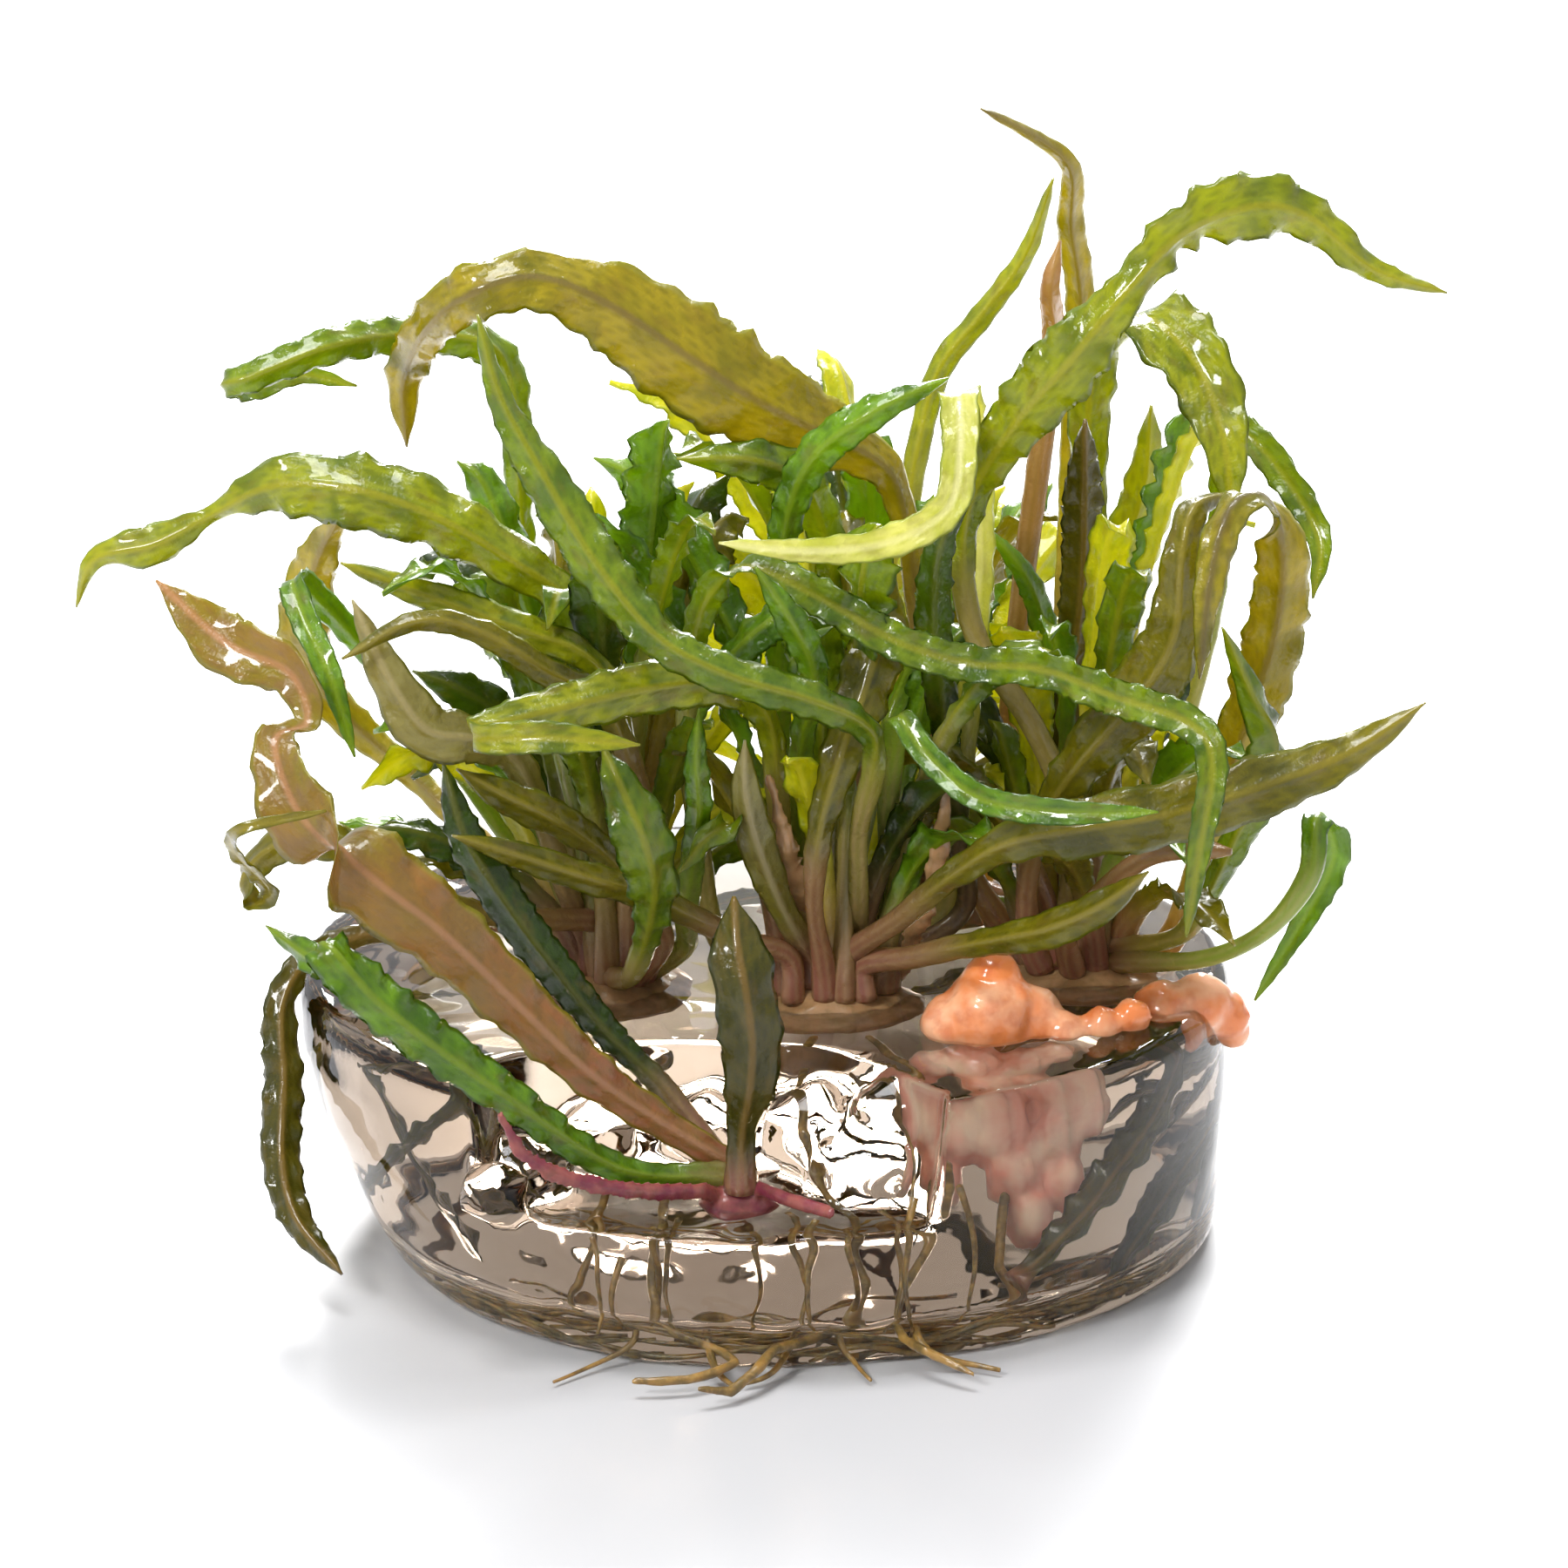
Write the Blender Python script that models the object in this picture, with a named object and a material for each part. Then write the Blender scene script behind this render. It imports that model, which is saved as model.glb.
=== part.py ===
"""A clump of small cryptocoryne plants in the puck of clear gel that it grew in.

Metres, +Z up. The origin is the centre of the gel's flat bottom, and the front, where the gel is
torn, faces -Y. Routes of leaves and roots are given as they are seen from the front, in millimetres:
across, up the picture, and deep, with + away from the eye. place() turns them into the frame.
"""

import math

import bmesh
import bpy
import numpy as np
from mathutils import Vector, noise
from mathutils.bvhtree import BVHTree

MM = 0.001

# The gel, in millimetres
GEL_RADIUS = 31.1
GEL_HEIGHT = 18.0
GEL_SIDES = 56
NOTCH_FLOOR = 9.7  # the torn front is gone down to this height
NOTCH_BUMPS = 0.3
NOTCH_LEFT = -18.5
NOTCH_RIGHT = 10.0
NOTCH_BACK = -18.5
NOTCH_OUTLINE = [(-18.5, -36), (-19.3, -28), (-17.2, -25.2), (-16.4, -22), (-13.2, -19.8), (-9.4, -18.6),
                 (-4.6, -18), (0.6, -18.6), (4.4, -20.4), (7.2, -22.8), (8.6, -25.6), (10.6, -28), (9.8, -36)]
NOTCH_LEVELS = [(NOTCH_FLOOR, 0.0), (14.1, 0.7), (21.0, 1.6)]  # heights, and how much wider it is there
LEDGE_TOP = 3.4  # under this, the front stands back below an overhang
LEDGE_DEPTH = 1.6

# Growth, in millimetres
GAP = 0.3  # between neighbouring pieces
LEAF_THICKNESS = 0.62
BACK_STRETCH = 0.8  # the clump reaches this much further back than its routes say
RING_LENGTH = 6.4  # mean length of blade between two cross-sections
ROOT_SIDES = 6
FOOT_RANGE = 0.6  # leaves stand on this share of their crown's half sizes
MOST_MOVED = 6.0  # no leaf is parted from its neighbours by more than this
PASSES = 220  # rounds of moving neighbours apart, at most
SHOVE = 0.2  # how far a leaf moves in one round
SHOVE_REACH = 7.0  # and how much of its length moves with it
FOOT_ROOM = 0.55  # from a crown's top to the middle of a leaf's foot
TURN_LENGTH = 2.6  # a bend of one radian gets as many cross-sections as this length of straight blade
FEWEST_RINGS, MOST_RINGS = 6, 20
SURFACE_ROOM = 0.45  # from the gel's top or the table up to a leaf
WALL_ROOM = 0.9  # from the gel's side out to the leaf beside it
ROOT_START_ROOM = 0.45  # from a crown's surface to the root's first point
ROOT_FLOOR_IN_GEL = 0.75  # lowest point of a root inside the gel
ROOT_FLOOR_OUTSIDE = 0.05
TUNNEL_LONGER = 0.8  # a root's tunnel starts this much before the root
POCKET_ROOM = 0.4  # between a crown or callus and the gel round it
LUMP_ROUGHNESS = 0.12

# The eye that the routes are seen by, in millimetres
EYE_DISTANCE = 430.0
EYE_TILT = math.radians(17.0)
AIM = Vector((1.33, 0.0, 30.2))
AIM_ACROSS = 1.33  # where the aim lies on the picture's own scale
AIM_UP = 28.31

FORWARD = Vector((0.0, math.cos(EYE_TILT), -math.sin(EYE_TILT)))
UPWARD = Vector((0.0, math.sin(EYE_TILT), math.cos(EYE_TILT)))
RIGHTWARD = Vector((1.0, 0.0, 0.0))
EYE = AIM - EYE_DISTANCE * FORWARD

# Each crown: the middle of its top, its half sizes, and its colour
CROWNS = {
    "crown_middle": ((4.0, -7.5, 19.4), (7.0, 5.2, 3.4), "8A6A3A"),
    "crown_right": ((21.0, -1.5, 19.4), (7.2, 6.2, 3.2), "94683E"),
    "crown_left": ((-10.5, -4.0, 19.4), (6.0, 6.8, 3.2), "7E6636"),
    "crown_back": ((9.0, 13.5, 19.4), (10.0, 5.6, 3.2), "7C6A38"),
    "crown_front": ((-1.6, -23.4, 11.3), (2.6, 2.2, 2.2), "B23A52"),
}

# Each leaf: its crown, its colour, and its route of (across, up, deep, wide) from base to tip
LEAVES = {
    "leaf_gold_arch": ("crown_right", "B7A21C", [
        (17, 17, -3, 1.2), (13, 24, 0, 1.2), (10.8, 34, 2, 1.3), (10, 42, 2, 1.6), (8.5, 48.5, 1, 2.6),
        (4.5, 51.3, -1, 4.6), (-1, 54, -4, 6.9), (-6, 57.3, -5, 7.2), (-11, 60.5, -5, 5.5),
        (-15.5, 61.8, -4, 4.3), (-20, 60.5, -1, 3.8), (-23, 57.5, 2, 3), (-24, 54, 3, 2.4),
        (-23.7, 50.8, 3, 0.6)]),
    "leaf_green_upper_left": ("crown_left", "6F7A14", [
        (-12, 22, 8, 1), (-14, 34, 6, 1.2), (-16, 45, 4, 1.8), (-16.5, 53, 2, 2.4), (-17.5, 56.5, 0, 2.8),
        (-20, 57.9, -1, 2.8), (-25, 58, -2, 2.8), (-30, 57, -2, 2.6), (-34, 55.3, -2, 2.2),
        (-35.6, 54.8, -1, 2), (-33.5, 54.5, 2, 1.8), (-30, 55.6, 3, 1.4), (-26.8, 54.7, 3, 0.5)]),
    "leaf_left_reach": ("crown_left", "8C8A16", [
        (-9, 19, -4, 1), (-9, 25, -4, 1), (-10, 34, -6, 1.4), (-13, 40.5, -8, 2.6), (-17, 43.3, -9, 3.6),
        (-21, 45.7, -9, 4.4), (-26, 47.5, -9, 5.2), (-31, 48.2, -8, 4.6), (-35, 47.3, -6, 2.2),
        (-37.5, 45.5, -5, 1.2), (-40, 44.3, -5, 3), (-43, 44, -5, 1.8), (-45.3, 42.3, -4, 1.2),
        (-45.6, 40.2, -3, 0.5)]),
    "leaf_front_pink": ("crown_front", "A8785A", [
        (-3, 2.2, -22.5, 1.6), (-7, 5.3, -24, 2.2), (-12, 9.5, -26, 3.2), (-17, 14, -28, 5),
        (-22, 18, -29, 6), (-26.5, 21.5, -29, 5.6), (-29, 25.5, -27, 3), (-29.7, 29.5, -25, 1.9),
        (-30, 33.3, -24, 2), (-32, 36, -23, 3.4), (-35, 37.3, -22, 4.2), (-38, 39.5, -21, 2.6),
        (-40.1, 41.8, -20, 0.5)]),
    "leaf_front_lobed": ("crown_front", "55780F", [
        (-4, 1.2, -23, 1.4), (-8, 2.7, -25.5, 2), (-12, 5, -28, 2.8), (-16, 7.7, -29.5, 3.4),
        (-19, 10, -30.5, 3.6), (-22, 12.5, -31, 3.6), (-24, 14.8, -30.5, 3.2), (-26, 15.5, -29.5, 3),
        (-29, 16.5, -28, 2.2), (-32, 18.8, -26, 0.5)]),
    "leaf_front_upright": ("crown_front", "4A4A18", [
        (-2, 2.5, -23.5, 1.1), (-1.5, 5, -25, 2), (-0.9, 8.5, -26.5, 3.6), (-0.9, 12.5, -27, 4.3),
        (-1.5, 16, -26.5, 4), (-2, 19.5, -25, 3), (-2, 20.8, -24.3, 0.8)]),
    "leaf_dark_crisped": ("crown_front", "26380F", [
        (-3, 3.5, -22, 1), (-7, 8.3, -21, 1.4), (-11, 12.5, -21, 2.4), (-15, 17.5, -21, 3),
        (-18.5, 22.5, -20, 3), (-20.3, 26, -19, 2.4), (-21.3, 29.8, -18, 0.5)]),
    "leaf_curl_left": ("crown_left", "7C7A1A", [
        (-11, 19, -6, 1), (-20, 20, -14, 1.6), (-27, 24, -20, 2.6), (-31, 24.6, -21, 2.6),
        (-34, 23, -21, 2.2), (-33.8, 20.6, -20.5, 1.6), (-32.3, 20.8, -22, 1.4), (-31.7, 23, -24.5, 1.2),
        (-31, 25.5, -27.5, 1), (-29, 26.8, -30, 0.8), (-25.7, 27.4, -29.5, 0.5)]),
    "leaf_olive_low_left": ("crown_middle", "6D6A14", [
        (2, 17, -10, 0.9), (-3, 18.2, -14, 1.2), (-8, 20.7, -17, 2.2), (-13, 22.4, -19, 2.2),
        (-17, 23.8, -20, 1.8), (-20.7, 24.9, -21, 0.5)]),
    "leaf_upright_left": ("crown_left", "5E7414", [
        (-8.8, 16, -12, 1), (-8, 18, -15, 1.6), (-7.3, 21, -18.5, 3.2), (-7.8, 24, -20, 4.2),
        (-9, 27, -20, 3.4), (-9.9, 29, -19, 2.2), (-10.8, 31, -18, 0.5)]),
    "leaf_pale_fold": ("crown_middle", "B9B33A", [
        (1, 18, -6, 1), (1, 26, -10, 1.2), (0, 33, -13, 2.2), (-4, 35.2, -16, 3.4), (-9, 34.3, -18, 3.6),
        (-14, 33.2, -20, 3.2), (-18, 32.2, -22, 2.4), (-19.3, 31.5, -23.5, 2), (-17, 31.2, -25, 2.2),
        (-12.5, 31.4, -25.5, 2), (-8.2, 30.9, -25, 0.5)]),
    "leaf_long_diagonal": ("crown_middle", "76821A", [
        (4.6, 17, -9, 1), (4.9, 20, -12, 1), (5.8, 26, -14, 1), (7.5, 30.5, -16, 1.6), (6.5, 32.6, -18, 2.2),
        (3, 34, -19.5, 2.8), (-1, 35.2, -20, 3), (-5, 36.5, -20, 2.8), (-9, 40, -19, 3.2),
        (-12.3, 45, -18, 4), (-15.3, 50, -17, 2.8), (-17.7, 55, -16.5, 1.6), (-18.6, 59.5, -16, 0.5)]),
    "leaf_horizontal_right": ("crown_middle", "7A7A1E", [
        (6, 16.5, -10, 1), (8.5, 18.6, -13, 1.1), (12, 21.8, -17, 1.8), (16, 24.3, -20, 2.6),
        (22, 25.5, -22, 4.2), (28, 26.6, -22, 4.4), (34, 28.5, -20, 4), (39, 30.6, -18, 2.6),
        (43.4, 33.7, -16, 0.5)]),
    "leaf_ruffled_drop": ("crown_middle", "8E9414", [
        (-3, 18, -6, 1), (-4.5, 26, -8, 1.1), (-5, 35, -9, 1.6), (-3.8, 40.5, -10, 2.2),
        (-1.5, 42.8, -11, 2.4), (2.5, 41.3, -12, 2.6), (7, 38.8, -13, 2.6), (11.5, 36.5, -14, 2.6),
        (15, 36.3, -15, 2.6), (19, 35.8, -18, 2.6), (23, 34.2, -21, 2.6), (27, 32.8, -24, 2.4),
        (29.5, 31.3, -26, 2.2), (29.6, 28, -27, 2), (28.9, 24, -27, 1.6), (28.3, 21, -26.5, 1),
        (28, 18.2, -26, 0.5)]),
    "leaf_upper_right": ("crown_right", "9C9A18", [
        (20, 18, -4, 1.3), (20.5, 24, -6, 1.3), (19, 30, -8, 1.3), (16, 35, -9, 1.2),
        (13.8, 38.5, -10, 1.3), (13.2, 43, -11, 1.6), (14, 48, -12, 2.6), (16.5, 52, -13, 4),
        (20.5, 56.7, -14, 4.8), (24.3, 61.3, -14, 2.6), (27.5, 64.9, -13, 4), (31, 66.3, -12, 4.8),
        (34.5, 66.8, -10, 4), (36.5, 65.6, -9, 3), (39.5, 63, -8, 2), (42.5, 61.5, -7, 1.1),
        (45.2, 60.9, -6, 0.5)]),
    "leaf_broad_right": ("crown_right", "8A8418", [
        (21, 19, 0, 1.1), (22.5, 30, 3, 1.2), (22, 42, 5, 1.8), (21.5, 52, 5, 3), (22.5, 58.5, 3, 4.4),
        (25.5, 59.3, 0, 5.2), (28.5, 56.5, -2, 5), (30.2, 52.5, -3, 4), (30.8, 48.8, -3, 2.4),
        (31, 46, -2, 0.5)]),
    "leaf_outer_right": ("crown_right", "6F7416", [
        (23, 19, 2, 1), (27, 30, 6, 1), (30, 42, 6, 1.6), (30.5, 50, 5, 2.2), (31.5, 51.8, 3, 2.4),
        (33.5, 49.8, 2, 2.4), (35.5, 47.5, 1, 2.2), (36.7, 44.5, 0, 1.8), (36.6, 42, -1, 1.2),
        (36.2, 40.6, -1, 0.5)]),
    "leaf_arch_right": ("crown_right", "9A8A2E", [
        (27, 18, -3, 1.2), (29.5, 25, -4, 2), (31.5, 31, -6, 3.6), (33.3, 36, -8, 4.4),
        (34.3, 41, -10, 3.8), (34.2, 45, -12, 3.4), (32.7, 47.3, -13.5, 3), (30.8, 46.2, -15, 2.6),
        (29.8, 43, -16, 2.3), (29.3, 39.5, -16.5, 1.8), (28.9, 35.3, -17, 0.5)]),
    "leaf_olive_right": ("crown_right", "7A7818", [
        (17.5, 18.5, -5, 1), (17.8, 24, -8, 1.4), (20, 28.5, -11, 3), (24, 33, -13, 4.8),
        (26.8, 37, -14, 4.4), (27.6, 41.5, -14, 3), (27.9, 45, -14, 2.4), (29.2, 47.3, -12, 1.6),
        (31, 47.5, -10, 0.5)]),
    "leaf_keeled_right": ("crown_right", "66721A", [
        (28, 18, -8, 1), (31, 24, -12, 2.6), (33.5, 30, -14, 3.8), (32.8, 33, -15, 2.8),
        (31.6, 36, -15.5, 1.4), (30.4, 38.7, -16, 0.5)]),
    "leaf_hanging_right": ("crown_right", "5C8A1C", [
        (28.5, 16.8, -9, 0.9), (31.5, 18.2, -11, 0.9), (34, 20.6, -12, 1), (35.5, 23.8, -12, 1.6),
        (35.6, 26, -10.5, 2.2), (36.6, 24.8, -8.5, 2.4), (36.6, 22, -8, 2.4), (35.2, 19, -8, 2),
        (33.5, 16.3, -8, 1.2), (31.8, 13.2, -8, 0.5)]),
    "leaf_low_right": ("crown_middle", "7B6A2A", [
        (6.3, 16.5, -9.5, 1), (10, 17, -13, 1.2), (14, 17.8, -16, 1.8), (18, 18.4, -19, 2.6),
        (22, 20, -21, 2.4), (25.5, 22.5, -22, 0.5)]),
    "stem_cut_right": ("crown_right", "8A5F45", [
        (20, 18.6, -8, 1), (22.5, 21.3, -12, 1), (25.5, 23.5, -15, 1), (29, 24, -17, 1),
        (31, 23.8, -18, 1)]),
    "leaf_green_glossy": ("crown_middle", "4F9A12", [
        (9, 17, -6, 1), (8, 26, -10, 1.1), (8.3, 32.5, -17, 1.6), (11, 29.8, -20, 1.9),
        (14, 27.5, -23, 1.9), (18, 26.5, -25, 1.9), (22, 26.6, -26, 1.6), (26, 26.5, -26.5, 0.5)]),
    "leaf_dark_toothed": ("crown_right", "4A3F16", [
        (18.5, 19, 0, 1.1), (19.5, 27, 0, 1.4), (20.4, 35, -1, 2.6), (21, 41, -2, 3), (21.3, 46, -3, 3),
        (21, 50, -4, 2.4), (21.3, 52.5, -5, 0.6)]),
    "leaf_yellow_back_right": ("crown_right", "B8B400", [
        (20, 21, 6, 1.1), (21.5, 30, 7, 1.6), (22.5, 38, 7, 2.6), (24, 44, 7, 3.3), (25.3, 48.5, 7, 2.8),
        (25.7, 53.5, 6, 0.5)]),
    "leaf_spike_top": ("crown_back", "A08A1C", [
        (17, 20, 8, 1.1), (19.5, 35, 9, 1.3), (20.5, 50, 9, 2), (21, 60, 8, 2.2), (20.3, 66, 6, 2),
        (20.2, 69.7, 4, 1.4), (18, 71.2, 3, 1), (14.4, 73.1, 1, 0.5)]),
    "leaf_diagonal_back": ("crown_back", "8C8A20", [
        (10, 21, 10, 1.1), (9, 40, 11, 1.3), (11, 54, 12, 1.8), (14, 58.8, 12, 1.8), (17, 62.7, 12, 1.5),
        (19.2, 68.5, 11, 0.5)]),
    "leaf_dead_tip": ("crown_back", "A5743A", [
        (15, 20, 5, 1), (17, 40, 3, 1.2), (18.8, 55, 1, 1.5), (18, 60, -1, 1.4), (16.7, 62.5, -2, 1.2),
        (16.4, 63.9, -2, 1), (17.3, 65.6, -2, 0.5)]),
    "leaf_upper_middle": ("crown_middle", "6FA01A", [
        (2, 19, 0, 1.1), (1, 32, -2, 1.4), (1.3, 44, -6, 2.2), (2.6, 48.6, -8, 2.7), (5.5, 51.6, -9, 2.6),
        (9, 53.3, -9, 2), (12.3, 55, -8, 0.5)]),
    "leaf_cross_middle": ("crown_back", "7C9A14", [
        (4, 21, 6, 1.1), (5, 35, 4, 1.6), (4, 45, 0, 2.8), (1.5, 49.2, -4, 3.2), (-2, 49.8, -6, 2.6),
        (-5.8, 49.9, -6, 0.5)]),
    "leaf_pale_top": ("crown_middle", "E4E09A", [
        (12, 19, -1, 1.1), (13.5, 33, -3, 1.5), (14.3, 44, -5, 2.2), (13.5, 51, -6.5, 2.8),
        (12.8, 54.6, -8.5, 2.8), (12.8, 52, -11, 2.6), (12.9, 48.5, -13, 2.4), (11.5, 46, -15, 2.4),
        (8, 44.3, -16, 2.2), (4, 43.7, -17, 1.8), (0, 44.2, -17.5, 1.2), (-3, 44.3, -17.5, 0.5)]),
    "leaf_yellow_left": ("crown_left", "C2B414", [
        (-9, 19, -7, 1), (-9, 27, -9, 1.1), (-10.5, 35.5, -12, 1.8), (-15, 38, -13, 2.4),
        (-20, 39.9, -14, 2.4), (-25, 42, -14.5, 1.6), (-27.9, 43, -15, 0.5)]),
    "leaf_arc_left": ("crown_left", "6D6A14", [
        (-7, 19, -8, 1), (-8, 27, -11, 1.1), (-11, 34, -14, 2), (-15, 36, -16, 2), (-18, 38, -17, 1.8),
        (-21.5, 39.3, -18, 1.6), (-25, 38.4, -19, 1.2), (-28, 36.6, -19.5, 0.5)]),
    "leaf_grey_left": ("crown_left", "8C8468", [
        (-12, 19, -6, 1), (-15, 26, -12, 1.6), (-18.5, 30, -17, 3), (-21.5, 30.5, -18.5, 3.7),
        (-24, 33.3, -19, 3.4), (-25.3, 36.3, -18, 2.4), (-27.3, 40.5, -16.5, 0.5)]),
    "leaf_green_tip_left": ("crown_left", "5E8212", [
        (-14, 20.5, 2, 1), (-22, 32, -2, 1.4), (-29, 40, -6, 2), (-31.2, 42, -9, 2), (-30.5, 39.3, -12, 2),
        (-29, 36.5, -14, 1.8), (-27.9, 33.3, -15, 1.4), (-26.8, 30.2, -15.5, 0.5)]),
    "leaf_gold_back_left": ("crown_left", "A89A20", [
        (-15, 20.5, 6, 1.1), (-22, 28, 8, 1.8), (-28, 34, 8, 3), (-30.3, 39, 6, 3.8), (-29.6, 43.5, 4, 2.8),
        (-28, 46.5, 2, 0.5)]),
    "leaf_dark_left": ("crown_left", "33400F", [
        (-10, 19, -2, 1), (-13, 27, -4, 1.8), (-17, 32.5, -7, 3), (-20.5, 34.7, -9, 2.6),
        (-23.3, 35.8, -10, 0.5)]),
    "leaf_olive_band": ("crown_left", "75701A", [
        (-7, 18, -9, 1), (-10, 23.5, -13, 1.8), (-13.5, 27, -15, 2.6), (-17, 29, -16, 2.2),
        (-20, 30.3, -16.5, 0.5)]),
    "leaf_tan_upright": ("crown_middle", "A08050", [
        (2.8, 17, -8.5, 1), (1.3, 19.5, -11, 1.8), (0, 23.5, -12.5, 2.6), (-0.6, 27.5, -13, 2.2),
        (-0.5, 31.5, -13, 0.5)]),
    "leaf_olive_middle": ("crown_middle", "7C7A28", [
        (4.1, 17, -8.6, 0.9), (4, 22, -10, 1), (4.8, 29, -11, 2.6), (6.8, 36, -11, 4),
        (7.6, 40, -10, 3.2), (7.2, 44, -9, 0.6)]),
    "leaf_green_middle": ("crown_middle", "4F9A12", [
        (3, 18, -7, 1), (2.5, 26, -10, 1.2), (3.8, 34.5, -15, 2), (2.5, 38, -17, 2.3), (0.8, 41, -18, 1.8),
        (-0.5, 42.8, -18, 0.5)]),
    "leaf_green_bumpy": ("crown_left", "5C8A14", [
        (-5.3, 17.5, -6, 0.9), (-5, 21, -12, 1.4), (-4.3, 27, -15, 1.9), (-4.5, 30, -15.5, 1.6),
        (-4.3, 33.3, -15, 0.5)]),
    "leaf_green_inner_right": ("crown_middle", "34600F", [
        (12, 19.5, -2, 1), (11.5, 28, -5, 1.6), (11.5, 36, -8, 2.6), (11.2, 41, -9.5, 2.6),
        (12, 45, -10, 1.8), (13.8, 48, -9, 0.5)]),
    "leaf_curve_right": ("crown_back", "5E8A14", [
        (18, 20, 3, 1), (19, 30, 2, 1.2), (19, 36, 1, 1.8), (18.2, 40, 1, 1.9), (16.8, 43, 0, 1.4),
        (14.8, 45.3, -1, 0.5)]),
    "leaf_wilted_left": ("crown_left", "4E4A1C", [
        (-18, 19.3, -2, 1), (-25, 18.6, -4, 1.4), (-30.5, 16.6, -6, 2), (-32.3, 12, -8, 2.6),
        (-31.6, 7, -10, 3), (-32, 3, -12, 2.8), (-31.4, 0.3, -14, 2.4), (-29.8, -2.3, -17, 1.8),
        (-28, -4.2, -19, 0.6)]),
}

# Small leaves fused to the crown that they grow from, as (across, up, deep, wide) from base to tip
SHEATHS = {
    "crown_middle": [
        [(3.4, 14.5, -8, 2.4), (3.0, 20, -11.4, 2.8), (1.8, 24, -12.6, 2.2), (0.3, 29, -12.4, 0.6)],
        [(8.5, 14.5, -7, 1.4), (10.6, 20, -10.5, 1.9), (11.8, 25, -11.5, 1.6), (12, 30, -11.8, 0.6)],
    ],
    "crown_front": [
        [(-2.4, 0.6, -23.6, 1.4), (-7, 1.1, -27.5, 1.4), (-11, 1.6, -30, 1.4), (-15.5, 3.2, -31.8, 1.4),
         (-17.6, 6.5, -32.4, 0.6)],
        [(-1.2, 0.4, -24, 1.2), (1.6, 0.1, -27, 1.3), (4.6, -0.7, -29.4, 1.1)],
    ],
}

# Each root: its crown, its thickness, its colour, and its route of (across, up, deep)
ROOTS = {
    "root_front_hook": ("crown_middle", 0.8, "8A5A2C", [
        (2.6, 6, -19), (4, 3.5, -21), (4.8, 1.2, -22.5), (5.6, -1.5, -23), (6.3, -4.6, -24),
        (5.2, -7, -25.6), (3.4, -8.4, -27.6), (1, -9, -29.8), (0, -10, -31.8), (-1.5, -11.6, -33.6),
        (-3.2, -12.3, -34.6), (-4.4, -11.8, -35)]),
    "root_front_right": ("crown_middle", 0.7, "A8803C", [
        (10.4, 5, -17), (11.2, 1, -21), (9.7, -3, -24), (8.4, -6.4, -26), (9.4, -8.6, -28.2),
        (11.4, -9.6, -30.4), (14, -10.9, -32)]),
    "root_deep_right": ("crown_right", 0.8, "B08A45", [
        (14.9, 6, -13.5), (14.4, -2.4, -19.5), (16, -5.4, -21), (20, -6.2, -19.5),
        (24.4, -5, -15), (27, -2.6, -8), (27, 0.4, 2)]),
    "root_left": ("crown_left", 0.8, "9A743A", [
        (-9.4, 4, -15), (-10.8, -2.6, -20), (-12.4, -6.4, -21.6), (-16.8, -6.6, -20.4),
        (-21.2, -4.8, -14.6), (-23.4, -2.2, -7), (-23.2, 1, 3)]),
    "root_left_short": ("crown_front", 0.7, "B08A45", [
        (-6.2, 2.6, -22.6), (-6.8, -2.2, -24.6), (-7, -5.6, -25.8), (-6.2, -7.8, -27.2), (-3.6, -9, -28.6),
        (-1.8, -10, -30.4), (-5, -11.2, -32.6), (-8.8, -11.3, -33)]),
    "root_back": ("crown_back", 0.9, "94703A", [
        (4, 8, 19), (-4, 4.4, 22.6), (-13, 3.4, 20), (-19, 2, 13.4)]),
}

# Lumps of callus: middles and radii of the balls that make each one up
CALLUS = {
    "callus_middle": ("D9764A", [
        ((14.5, -14.2, 18.8), 3.4), ((12.2, -14.8, 18.4), 2.2), ((17.2, -13.6, 18.4), 2.4),
        ((14.8, -13.6, 21.2), 1.9), ((19.6, -14.6, 17.9), 1.5), ((21.8, -14.4, 18.3), 1.4),
        ((23.9, -13.9, 18.7), 1.3)]),
    "callus_right": ("C85A4E", [
        ((26.2, -9.4, 17.4), 2.3), ((28.6, -8.8, 17.8), 2.2), ((30.2, -8, 16.8), 1.8),
        ((30.9, -7.6, 15.4), 1.2)]),
}


def clear_scene():
    for thing in list(bpy.data.objects):
        bpy.data.objects.remove(thing, do_unlink=True)


def place(across, up, deep):
    """The point of the frame, in millimetres, that is seen there at that depth."""
    ray = EYE_DISTANCE * FORWARD + (across - AIM_ACROSS) * RIGHTWARD + (up - AIM_UP) * UPWARD
    return EYE + ray * ((deep - EYE.y) / ray.y)


def linear_colour(text):
    """The linear colour of a hexadecimal sRGB one."""
    parts = [int(text[start:start + 2], 16) / 255 for start in (0, 2, 4)]
    return [part / 12.92 if part <= 0.04045 else ((part + 0.055) / 1.055) ** 2.4 for part in parts]


def plain_material(name, colour, roughness, transmission=0.0):
    material = bpy.data.materials.new(name)
    material.use_nodes = True
    shader = material.node_tree.nodes["Principled BSDF"]
    shader.inputs["Base Color"].default_value = (*linear_colour(colour), 1.0)
    shader.inputs["Roughness"].default_value = roughness
    shader.inputs["Metallic"].default_value = 0.0
    shader.inputs["Transmission Weight"].default_value = transmission
    shader.inputs["IOR"].default_value = 1.335 if transmission else 1.45
    return material


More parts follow.
